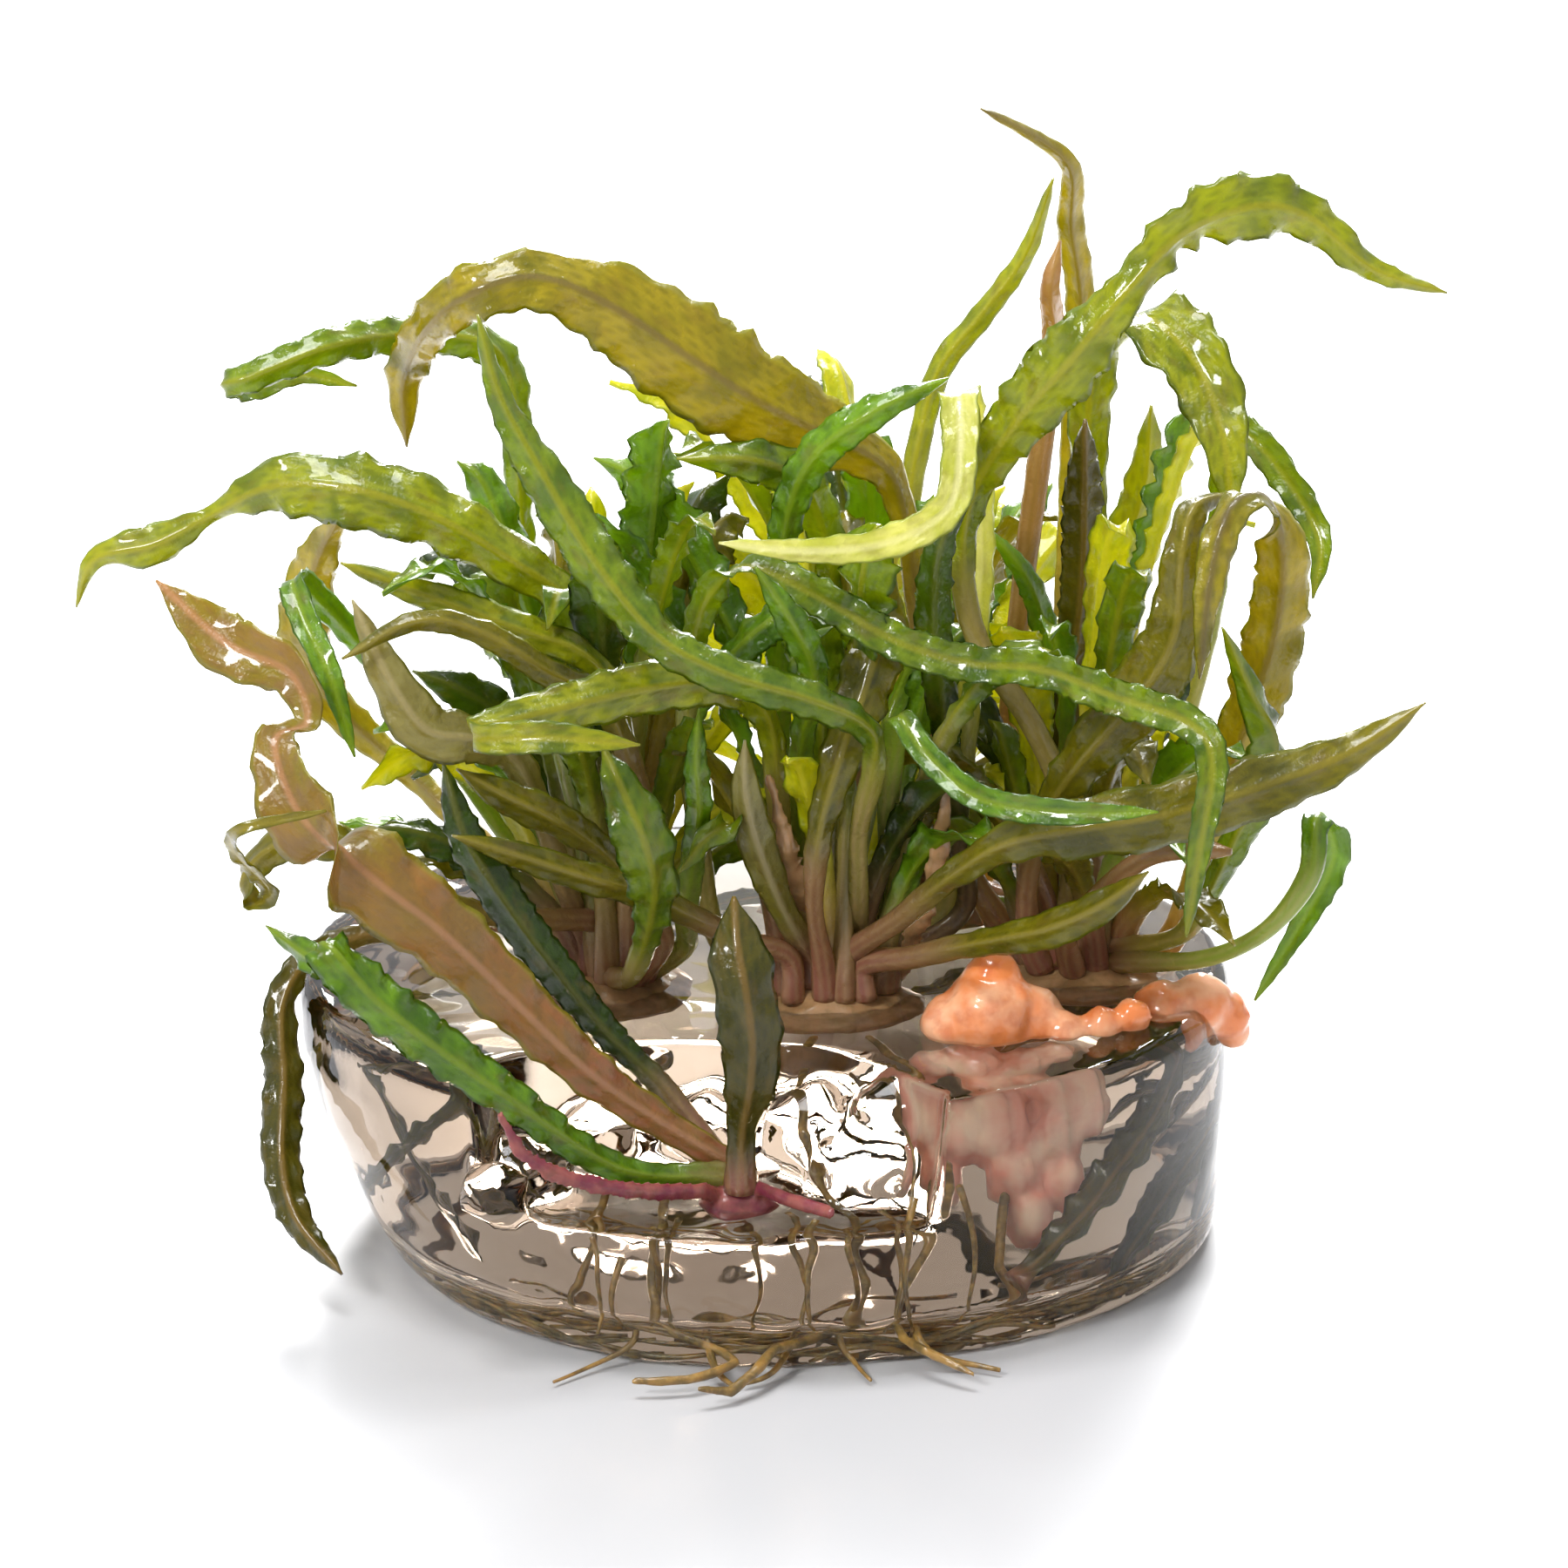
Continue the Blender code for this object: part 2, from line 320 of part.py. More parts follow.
def solid_object(name, points, faces, material, smooth=True):
    """A mesh object from points in millimetres, with its faces pointing out."""
    mesh = bpy.data.meshes.new(name)
    mesh.from_pydata([Vector(point) * MM for point in points], [], faces)
    build = bmesh.new()
    build.from_mesh(mesh)
    bmesh.ops.triangulate(build, faces=build.faces)
    bmesh.ops.recalc_face_normals(build, faces=build.faces)
    if build.calc_volume(signed=True) < 0:
        bmesh.ops.reverse_faces(build, faces=build.faces)
    build.to_mesh(mesh)
    build.free()
    if smooth:
        mesh.shade_smooth()
        mesh.set_sharp_from_angle(angle=math.radians(40))
    thing = bpy.data.objects.new(name, mesh)
    bpy.context.scene.collection.objects.link(thing)
    mesh.materials.append(material)
    return thing


def cutter_of(thing):
    """Sets an object up as a cutter: it isn't part of the model."""
    thing.hide_render = True
    thing.display_type = "WIRE"
    return thing


def cut(thing, cutter, operation="DIFFERENCE"):
    change = thing.modifiers.new(cutter.name, "BOOLEAN")
    change.operation = operation
    change.object = cutter


def smooth_curve(points, steps=14):
    """Points along a Catmull-Rom curve through the given ones, as rows of numbers."""
    points = np.array(points, float)
    ends = np.vstack([2 * points[0] - points[1], points, 2 * points[-1] - points[-2]])
    curve = []
    for a, b, c, d in zip(ends, ends[1:], ends[2:], ends[3:]):
        for t in np.arange(steps) / steps:
            curve.append(0.5 * (2 * b + (c - a) * t + (2 * a - 5 * b + 4 * c - d) * t * t
                                + (3 * b - a - 3 * c + d) * t ** 3))
    return np.vstack([curve, points[-1]])


def unit(rows):
    return rows / np.maximum(np.linalg.norm(rows, axis=-1, keepdims=True), 1e-9)


def tangents(middles):
    return unit(np.gradient(middles, axis=0))


def across_directions(middles, widths):
    """Which way the blade lies at each point: facing the eye, but across the bend in a tight bend."""
    along = tangents(middles)
    sight = unit(middles - np.array(EYE))
    spacing = np.linalg.norm(np.diff(middles, axis=0), axis=1).mean()
    turning = np.gradient(along, axis=0) / spacing
    reach = max(2, int(2.2 / spacing))
    turning = np.array([turning[max(0, i - reach):i + reach + 1].mean(axis=0) for i in range(len(along))])
    tightness = np.linalg.norm(turning, axis=1) * (widths + 1.0)
    last = np.array(RIGHTWARD)
    found = []
    for t, s, turn, share in zip(along, sight, turning, np.clip((tightness - 0.35) / 0.6, 0, 1)):
        facing = np.cross(t, s)
        if facing @ last < 0:
            facing = -facing
        hinge = np.cross(t, turn)
        hinge = hinge / max(np.linalg.norm(hinge), 1e-9)
        if (hinge @ s if abs(hinge @ s) > 0.6 else hinge @ last) < 0:
            hinge = -hinge
        wanted = (1 - share) * facing + share * hinge + 0.12 * last
        wanted -= t * (wanted @ t)
        last = wanted / np.linalg.norm(wanted)
        found.append(last)
    return np.array(found)


class Strip:
    """A leaf or a sheath as a row of cross-sections."""

    def __init__(self, name, route):
        places = [(*place(across, up, deep + BACK_STRETCH * max(0.0, deep)), wide)
                  for across, up, deep, wide in route]
        curve = smooth_curve(places)
        middles, widths = curve[:, :3], curve[:, 3]
        sides = across_directions(middles, widths)
        turns = np.linalg.norm(np.diff(tangents(middles), axis=0), axis=1)
        lengths = np.linalg.norm(np.diff(middles, axis=0), axis=1)
        cost = np.concatenate([[0], np.cumsum(lengths + TURN_LENGTH * turns)])
        count = int(np.clip(round(cost[-1] / RING_LENGTH), FEWEST_RINGS, MOST_RINGS)) + 1
        wanted = np.linspace(0, cost[-1], count)
        self.name = name
        self.fused = False
        self.beside_gel = False
        self.middles = np.array([np.interp(wanted, cost, column) for column in middles.T]).T
        self.sides = unit(np.array([np.interp(wanted, cost, column) for column in sides.T]).T)
        self.widths = np.maximum(np.interp(wanted, cost, widths), 0.5)
        self.narrow_in_bends()

    def narrow_in_bends(self):
        """Narrows the blade where its inner edge would double back on itself in a bend."""
        for _ in range(14):
            corners = self.corners()
            steps = np.diff(corners[:, (0, 2)], axis=0)
            course = np.diff(self.middles, axis=0)
            ahead = (steps * course[:, None]).sum(axis=2).min(axis=1) / (course ** 2).sum(axis=1)
            crossed = np.flatnonzero(ahead < 0.25)
            if not len(crossed):
                break
            pinched = np.unique(np.concatenate([crossed, crossed + 1]))
            self.widths[pinched] = np.maximum(self.widths[pinched] * 0.9, 0.5)

    def corners(self, spare=0.0):
        """Four corners of each cross-section, spare millimetres bigger all round."""
        along = tangents(self.middles)
        sides = unit(self.sides - along * (self.sides * along).sum(axis=1, keepdims=True))
        faces = np.cross(along, sides)
        half = (self.widths / 2 + spare)[:, None]
        thick = np.minimum(LEAF_THICKNESS / 2, 0.31 * self.widths + 0.08)[:, None] + spare
        ends = np.zeros((len(half), 1))
        ends[0], ends[-1] = -spare, spare
        middles = self.middles + along * ends
        return np.stack([middles - sides * half, middles + faces * thick,
                         middles + sides * half, middles - faces * thick], axis=1)

    def tree(self, spare):
        corners = self.corners(spare)
        return BVHTree.FromPolygons(corners.reshape(-1, 3).tolist(), strip_faces(len(corners), 4))

    def lowest(self, spare=0.0):
        return self.corners(spare)[:, :, 2].min(axis=1)


def strip_faces(rings, sides):
    """Triangles of a tube of that many rings, with both ends closed."""
    faces = []
    for ring in range(rings - 1):
        for side in range(sides):
            a = ring * sides + side
            b = ring * sides + (side + 1) % sides
            faces += [(a, b, b + sides), (a, b + sides, a + sides)]
    last = (rings - 1) * sides
    for side in range(1, sides - 1):
        faces.append((0, side + 1, side))
        faces.append((last, last + side, last + side + 1))
    return faces


def gel_surface(x, y):
    """Height of the gel's top there, or of the table beside the gel."""
    if math.hypot(x, y) > GEL_RADIUS + 0.6:
        return 0.0
    in_notch = NOTCH_LEFT < x < NOTCH_RIGHT and y < NOTCH_BACK
    return NOTCH_FLOOR + NOTCH_BUMPS if in_notch else GEL_HEIGHT


def foot_on_crown(crown, x, y):
    """The point on the crown's top nearest to that one, with room for the gap."""
    (middle_x, middle_y, top), (half_x, half_y, half_z), _ = CROWNS[crown]
    away = np.array([x - middle_x, y - middle_y])
    outness = math.hypot(away[0] / half_x, away[1] / half_y)
    away *= min(1.0, FOOT_RANGE / max(outness, 1e-6))
    fall = half_z * (1 - math.sqrt(1 - min(outness, FOOT_RANGE) ** 2))
    return np.array([middle_x + away[0], middle_y + away[1], top - fall + FOOT_ROOM])


def grow_leaves():
    """Every leaf as a strip that starts on its crown."""
    strips = []
    for name, (crown, _, route) in LEAVES.items():
        strip = Strip(name, route)
        strip.crown = crown
        top, sizes, _ = CROWNS[crown]
        middle = np.array([top[0], top[1], top[2] - sizes[2]])
        outness = np.linalg.norm((strip.middles - middle) / (np.array(sizes) + 1.2), axis=1)
        first = int(np.argmax(outness > 1))
        foot = foot_on_crown(crown, *strip.middles[first][:2])
        strip.middles = np.vstack([foot, strip.middles[first:]])
        strip.sides = np.vstack([strip.sides[first], strip.sides[first:]])
        strip.widths = np.concatenate([strip.widths[:1], strip.widths[first:]])
        strip.beside_gel = name == "leaf_wilted_left"
        strips.append(strip)
    for crown, routes in SHEATHS.items():
        for number, route in enumerate(routes):
            strip = Strip(f"{crown}_sheath_{number}", route)
            strip.crown = crown
            strip.fused = True
            strips.append(strip)
    for strip in strips:
        strip.home = strip.middles.copy()
    return strips


def fixed_trees(crowns, lumps):
    """What the leaves must keep clear of, as (name, tree, middle)."""
    found = []
    for thing in crowns + lumps:
        points = [thing.matrix_world @ v.co / MM for v in thing.data.vertices]
        faces = [tuple(face.vertices) for face in thing.data.polygons]
        middle = np.mean([list(point) for point in points], axis=0)
        found.append((thing.name, BVHTree.FromPolygons(points, faces), middle))
    return found


def shove(strip, ring, direction):
    """Moves the strip near that ring, less and less away from it. Its foot only moves sideways."""
    lengths = np.concatenate([[0], np.cumsum(np.linalg.norm(np.diff(strip.middles, axis=0), axis=1))])
    share = np.exp(-((lengths - lengths[ring]) / SHOVE_REACH) ** 2)
    moved = strip.middles + share[:, None] * direction * SHOVE - strip.home
    distance = np.linalg.norm(moved, axis=1, keepdims=True)
    strip.middles = strip.home + moved * np.minimum(1, MOST_MOVED / np.maximum(distance, 1e-6))


def way_apart(a, ring_a, b, ring_b):
    """The direction in which strip a leaves strip b: along the line of sight where that parts them."""
    between = a.middles[ring_a] - b.middles[ring_b]
    sight = unit(a.middles[ring_a] - np.array(EYE))
    along_a, along_b = tangents(a.middles)[ring_a], tangents(b.middles)[ring_b]
    if ring_a <= 1 or ring_b <= 1:
        flat = np.array([between[0], between[1], 0.0])
        return unit(flat) if np.linalg.norm(flat) > 0.05 else np.array([1.0, 0.0, 0.0])
    if abs(along_a @ sight) > 0.75 or abs(along_b @ sight) > 0.75:
        crossed = np.cross(along_a, along_b)
        if np.linalg.norm(crossed) < 0.4:
            crossed = between - along_a * (between @ along_a)
        crossed = unit(crossed)
        return crossed if crossed @ between >= 0 else -crossed
    return sight if sight @ between >= 0 else -sight


def part_leaves(strips, fixed):
    """Moves the leaves apart, and off the gel and the table, until each keeps its gap."""
    spare = GAP / 2 + 0.03
    chosen = {}
    for _ in range(PASSES):
        trees = [strip.tree(spare) for strip in strips]
        boxes = [(s.corners(spare).reshape(-1, 3).min(axis=0), s.corners(spare).reshape(-1, 3).max(axis=0))
                 for s in strips]
        moves = []
        for i, first in enumerate(strips):
            for j in range(i + 1, len(strips)):
                apart = (boxes[i][0] > boxes[j][1]).any() or (boxes[j][0] > boxes[i][1]).any()
                hits = [] if apart else trees[i].overlap(trees[j])
                if not hits:
                    continue
                for group in hit_groups(hits, len(first.middles), len(strips[j].middles)):
                    ring_i, ring_j = (round(float(np.mean(column))) for column in zip(*group))
                    key = (i, j, ring_i // 4, ring_j // 4)
                    if key not in chosen:
                        chosen[key] = way_apart(first, ring_i, strips[j], ring_j)
                    moves += [(i, ring_i, chosen[key]), (j, ring_j, -chosen[key])]
            for name, tree, middle in fixed:
                hits = trees[i].overlap(tree)
                if hits and not (first.fused and first.crown == name):
                    ring = round(float(np.mean([face // 8 for face, _ in hits])))
                    ring = min(ring, len(first.middles) - 1)
                    moves.append((i, ring, unit(first.middles[ring] - middle)))
        for i, ring, direction in moves:
            shove(strips[i], ring, direction)
        lifted = sum(keep_off_surfaces(strip) for strip in strips)
        if not moves and not lifted:
            break


def hit_groups(hits, rings_a, rings_b):
    """The touching faces as groups of (ring, ring) pairs, one for each place where two strips meet."""
    pairs = sorted((min(a // 8, rings_a - 1), min(b // 8, rings_b - 1)) for a, b in hits)
    groups = [[pairs[0]]]
    for pair in pairs[1:]:
        if pair[0] - groups[-1][-1][0] > 1:
            groups.append([])
        groups[-1].append(pair)
    return groups


def keep_off_surfaces(strip):
    """Lifts the strip where it is under the gel's top or the table. True if it moved by much."""
    moved = False
    if strip.fused:
        strip.middles[0] = strip.home[0]
    else:
        strip.middles[0] = foot_on_crown(strip.crown, *strip.middles[0][:2])
    low = strip.lowest()
    for ring, (x, y, z) in enumerate(strip.middles):
        if ring == 0:
            continue
        radius = math.hypot(x, y)
        wall = GEL_RADIUS + WALL_ROOM + strip.widths[ring] * 0.15
        if strip.beside_gel and GEL_RADIUS - 5 < radius < wall and z < GEL_HEIGHT - 3:
            strip.middles[ring][:2] *= wall / radius
            moved = True
            continue
        short = gel_surface(x, y) + SURFACE_ROOM - low[ring]
        if short > 0.02:
            strip.middles[ring][2] += short
            moved = moved or short > 0.1
    return moved


def leaf_object(strip, material):
    corners = strip.corners()
    return solid_object(strip.name, corners.reshape(-1, 3), strip_faces(len(corners), 4), material)


def untwisted_sides(along):
    """A direction across a curve at each point, which turns no more than the curve does."""
    last = np.cross(along[0], np.array(RIGHTWARD))
    found = []
    for direction in along:
        last = last - direction * (last @ direction)
        last = last / np.linalg.norm(last)
        found.append(last)
    return np.array(found)


def tube(name, points, radius, material, sides=ROOT_SIDES, spare=0.0):
    """A round rod along the points, with tapered ends."""
    points = np.array(points)
    along = tangents(points)
    side = untwisted_sides(along)
    other = np.cross(along, side)
    sizes = np.full(len(points), radius)
    sizes[-1] *= 0.55
    sizes = sizes + spare
    angles = np.linspace(0, 2 * math.pi, sides, endpoint=False)
    rings = [points[i] + sizes[i] * (math.cos(a) * side[i] + math.sin(a) * other[i])
             for i in range(len(points)) for a in angles]
    if spare:
        for k in range(sides):
            rings[k] = rings[k] - along[0] * (spare + TUNNEL_LONGER)
            rings[-1 - k] = rings[-1 - k] + along[-1] * spare
    return solid_object(name, rings, strip_faces(len(points), sides), material)


def lumpy_ball(name, middle, sizes, material, spare=0.0):
    """A ball of that middle and half sizes, made uneven."""
    build = bmesh.new()
    bmesh.ops.create_icosphere(build, subdivisions=2, radius=1.0)
    points = []
    for vertex in build.verts:
        swell = 1 + LUMP_ROUGHNESS * noise.noise(vertex.co * 1.7 + Vector(middle) * 0.37)
        points.append([m + v * s * swell + v * spare for m, v, s in zip(middle, vertex.co, sizes)])
    faces = [[v.index for v in face.verts] for face in build.faces]
    build.free()
    return solid_object(name, points, faces, material)


def gel_radius(angle, height):
    """Radius of the gel's outside: its left tapers in downwards, and it is a little uneven."""
    leftness = max(0.0, -math.cos(angle)) ** 2
    frontness = max(0.0, -math.sin(angle)) ** 3
    low = max(0.0, 1 - height / 14.0)
    radius = GEL_RADIUS - leftness * 5.2 * low ** 1.4 - 0.9 * low ** 3
    if height < LEDGE_TOP:
        radius -= frontness * LEDGE_DEPTH
    return radius + 0.25 * noise.noise(Vector((math.cos(angle), math.sin(angle), height / 20)) * 2.2)


def gel_puck(material):
    heights = [0.0, 0.6, LEDGE_TOP - 0.2, LEDGE_TOP + 0.3, 10.0, GEL_HEIGHT - 0.9, GEL_HEIGHT]
    insets = [0.5, 0.0, 0.0, 0.0, 0.0, 0.0, 0.7]
    points, faces = [], []
    for height, inset in zip(heights, insets):
        for side in range(GEL_SIDES):
            angle = 2 * math.pi * side / GEL_SIDES
            radius = gel_radius(angle, height) - inset
            points.append((radius * math.cos(angle), radius * math.sin(angle), height))
    for ring in range(len(heights) - 1):
        for side in range(GEL_SIDES):
            a, b = ring * GEL_SIDES + side, ring * GEL_SIDES + (side + 1) % GEL_SIDES
            faces.append((a, b, b + GEL_SIDES, a + GEL_SIDES))
    faces.append(tuple(range(GEL_SIDES)))
    faces.append(tuple(range(len(points) - GEL_SIDES, len(points))))
    return solid_object("gel_puck", points, faces, material)


def notch_cutter(material):
    """What was torn out of the front of the gel, as an uneven block seen from above."""
    middle = (NOTCH_LEFT + NOTCH_RIGHT) / 2
    points = []
    for height, wider in NOTCH_LEVELS:
        for x, y in NOTCH_OUTLINE:
            lift = NOTCH_BUMPS * math.sin(x * 0.7) if height == NOTCH_FLOOR else 0.0
            points.append((x + 0.8 * math.copysign(wider, x - middle), y + wider, height + lift))
    count = len(NOTCH_OUTLINE)
    faces = [tuple(range(count)), tuple(range(len(points) - count, len(points)))]
    for ring in range(len(NOTCH_LEVELS) - 1):
        for side in range(count):
            a, b = ring * count + side, ring * count + (side + 1) % count
            faces.append((a, b, b + count, a + count))
    return cutter_of(solid_object("notch_cutter", points, faces, material, smooth=False))


def root_start(crown, toward):
    """A point just off the crown's surface, on the side of the root's first point."""
    top, sizes, _ = CROWNS[crown]
    middle = Vector((top[0], top[1], top[2] - sizes[2]))
    away = toward - middle
    reach = 1 / math.sqrt(sum((part / size) ** 2 for part, size in zip(away, sizes)))
    return middle + away * reach + away.normalized() * ROOT_START_ROOM


def root_curve(crown, route, count=15):
    """A root's course in the frame at even steps, from its crown."""
    places = [place(*point) for point in route]
    curve = smooth_curve([root_start(crown, places[0]), *places])
    lengths = np.concatenate([[0], np.cumsum(np.linalg.norm(np.diff(curve, axis=0), axis=1))])
    wanted = np.linspace(0, lengths[-1], count)
    return np.array([np.interp(wanted, lengths, column) for column in curve.T]).T


def build_roots(gel):
    for name, (crown, thick, colour, route) in ROOTS.items():
        points = root_curve(crown, route)
        inside = np.hypot(points[:, 0], points[:, 1]) < GEL_RADIUS - 0.5
        floor = thick / 2 + np.where(inside, ROOT_FLOOR_IN_GEL, ROOT_FLOOR_OUTSIDE)
        points[:, 2] = np.maximum(points[:, 2], floor)
        tube(name, points, thick / 2, plain_material(name, colour, 0.4))
        cutter = tube(name + "_tunnel", points, thick / 2, cutter_material(), spare=GAP)
        cut(gel, cutter_of(cutter))


def cutter_material():
    return bpy.data.materials.get("Cutter") or plain_material("Cutter", "FF00FF", 0.5)


def build_callus(gel, name, colour, balls):
    """A lump of callus as one solid, in its pocket in the gel. Returns the balls that it is made of."""
    material = plain_material(name, colour, 0.35)
    made = []
    for number, (middle, radius) in enumerate(balls):
        made.append(lumpy_ball(f"{name}_{number}", middle, [radius] * 3, material))
        pocket = lumpy_ball(f"{name}_pocket_{number}", middle, [radius] * 3, cutter_material(),
                            spare=POCKET_ROOM)
        cut(gel, cutter_of(pocket))
    whole = made[0]
    whole.name = name
    for ball in made[1:]:
        cut(whole, cutter_of(ball), "UNION")
    return made


def build():
    clear_scene()
    gel = gel_puck(plain_material("Clear gel", "E8EDE6", 0.05, transmission=1.0))
    cut(gel, notch_cutter(cutter_material()))
    crowns, lumps = [], []
    for name, (top, sizes, colour) in CROWNS.items():
        middle = (top[0], top[1], top[2] - sizes[2])
        crowns.append(lumpy_ball(name, middle, sizes, plain_material(name, colour, 0.4)))
        pocket = lumpy_ball(name + "_pocket", middle, sizes, cutter_material(), spare=POCKET_ROOM)
        cut(gel, cutter_of(pocket))
    for name, (colour, balls) in CALLUS.items():
        lumps += build_callus(gel, name, colour, balls)
    strips = grow_leaves()
    part_leaves(strips, fixed_trees(crowns, lumps))
    for strip in strips:
        if strip.fused:
            sheath = cutter_of(leaf_object(strip, cutter_material()))
            cut(bpy.data.objects[strip.crown], sheath, "UNION")
        else:
            leaf_object(strip, plain_material(strip.name, LEAVES[strip.name][1], 0.3))
    build_roots(gel)


build()
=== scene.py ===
"""The looks of a clump of small cryptocoryne plants in the puck of clear gel that it grew in.

Metres, +Z up, front at -Y. Each leaf is grown over its own solid: the solid's cross-sections give
its course and width, and the fine blade with its crisped edge is laid along them.
"""

import itertools
import math
import random

import bmesh
import bpy
import numpy as np
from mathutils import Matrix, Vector, kdtree, noise

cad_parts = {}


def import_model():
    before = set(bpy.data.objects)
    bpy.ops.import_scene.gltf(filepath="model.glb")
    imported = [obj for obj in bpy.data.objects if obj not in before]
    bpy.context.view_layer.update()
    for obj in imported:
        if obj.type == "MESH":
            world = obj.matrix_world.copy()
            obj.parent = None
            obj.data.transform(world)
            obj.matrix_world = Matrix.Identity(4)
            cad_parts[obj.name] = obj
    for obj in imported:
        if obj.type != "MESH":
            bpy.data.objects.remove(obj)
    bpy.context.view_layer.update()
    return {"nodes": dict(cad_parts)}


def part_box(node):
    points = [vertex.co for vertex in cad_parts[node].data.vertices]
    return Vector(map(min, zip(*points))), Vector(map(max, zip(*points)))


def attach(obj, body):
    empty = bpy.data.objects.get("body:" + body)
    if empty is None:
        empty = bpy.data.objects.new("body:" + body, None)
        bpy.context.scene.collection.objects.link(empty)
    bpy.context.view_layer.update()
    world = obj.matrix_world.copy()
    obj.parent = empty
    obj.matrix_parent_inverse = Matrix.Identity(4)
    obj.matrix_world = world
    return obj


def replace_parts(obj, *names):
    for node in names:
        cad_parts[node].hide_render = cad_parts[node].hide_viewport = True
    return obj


MM = 0.001

# The photograph's eye
EYE_DISTANCE = 0.430
EYE_TILT = math.radians(17.0)
AIM = Vector((0.00133, 0.0, 0.0302))
FRAME_WIDTH = 0.104  # of the picture, at the aim
SENSOR = 36.0

# Leaves, in millimetres
STEP_ALONG = 0.45
COLUMNS = 12  # strips across a blade
BLADE_THICKNESS = 0.18
STALK_END = 1.35  # a blade starts where the leaf is wider than this
FOOT_DEPTH = 0.75  # how far a stalk goes down into its crown
FOOT_SWELL = 0.7  # a stalk is this much wider at its foot
STALK_SWELL = 0.3  # and this much wider all along than its solid
INNER_LEAVES = 118  # small leaves inside the clump, past those that the solids show

# The gel, in millimetres
GEL_RADIUS = 31.1
GEL_HEIGHT = 18.0
TEAR_FLOOR = 9.7
TEAR_OUTLINE = [(-18.5, -36), (-19.3, -28), (-17.2, -25.2), (-16.4, -22), (-13.2, -19.8), (-9.4, -18.6),
                (-4.6, -18), (0.6, -18.6), (4.4, -20.4), (7.2, -22.8), (8.6, -25.6), (10.6, -28), (9.8, -36)]
TEAR_LEVELS = [(TEAR_FLOOR, 0.0), (14.1, 0.7), (21.0, 1.6)]  # heights, and how much wider it is there
# Shards of gel left standing in the tear: the middle and radius of each
SHARDS = [((7.2, -22.6, 11.4), 4.6), ((8.8, -22.4, 14.6), 3.6), ((3.4, -20.0, 13.0), 3.8), ((-3.6, -18.4, 12.6), 2.8),
          ((-15.4, -22.4, 10.8), 3.2), ((-17.0, -26.4, 11.2), 2.4), ((-10.8, -19.6, 12.4), 2.8)]
FINE_ROOTS = 64
LEDGE_TOP = 3.4
LEDGE_DEPTH = 1.6


def linear(text, alpha=1.0):
    """A hexadecimal sRGB colour as linear values."""
    parts = [int(text[start:start + 2], 16) / 255 for start in (0, 2, 4)]
    values = [part / 12.92 if part <= 0.04045 else ((part + 0.055) / 1.055) ** 2.4 for part in parts]
    return (*values, alpha)


def add(tree, kind, inputs=None, **settings):
    """Adds a node with its settings. Each input takes a value, or a link from another node's output."""
    made = tree.nodes.new(kind)
    for name, value in settings.items():
        setattr(made, name, value)
    for socket, value in (inputs or {}).items():
        if isinstance(value, bpy.types.NodeSocket):
            tree.links.new(value, made.inputs[socket])
        else:
            made.inputs[socket].default_value = value
    return made


def new_material(name):
    """A material with an empty tree and its output: (material, tree, output)."""
    material = bpy.data.materials.new(name)
    material.use_nodes = True
    material.node_tree.nodes.clear()
    return material, material.node_tree, add(material.node_tree, "ShaderNodeOutputMaterial")


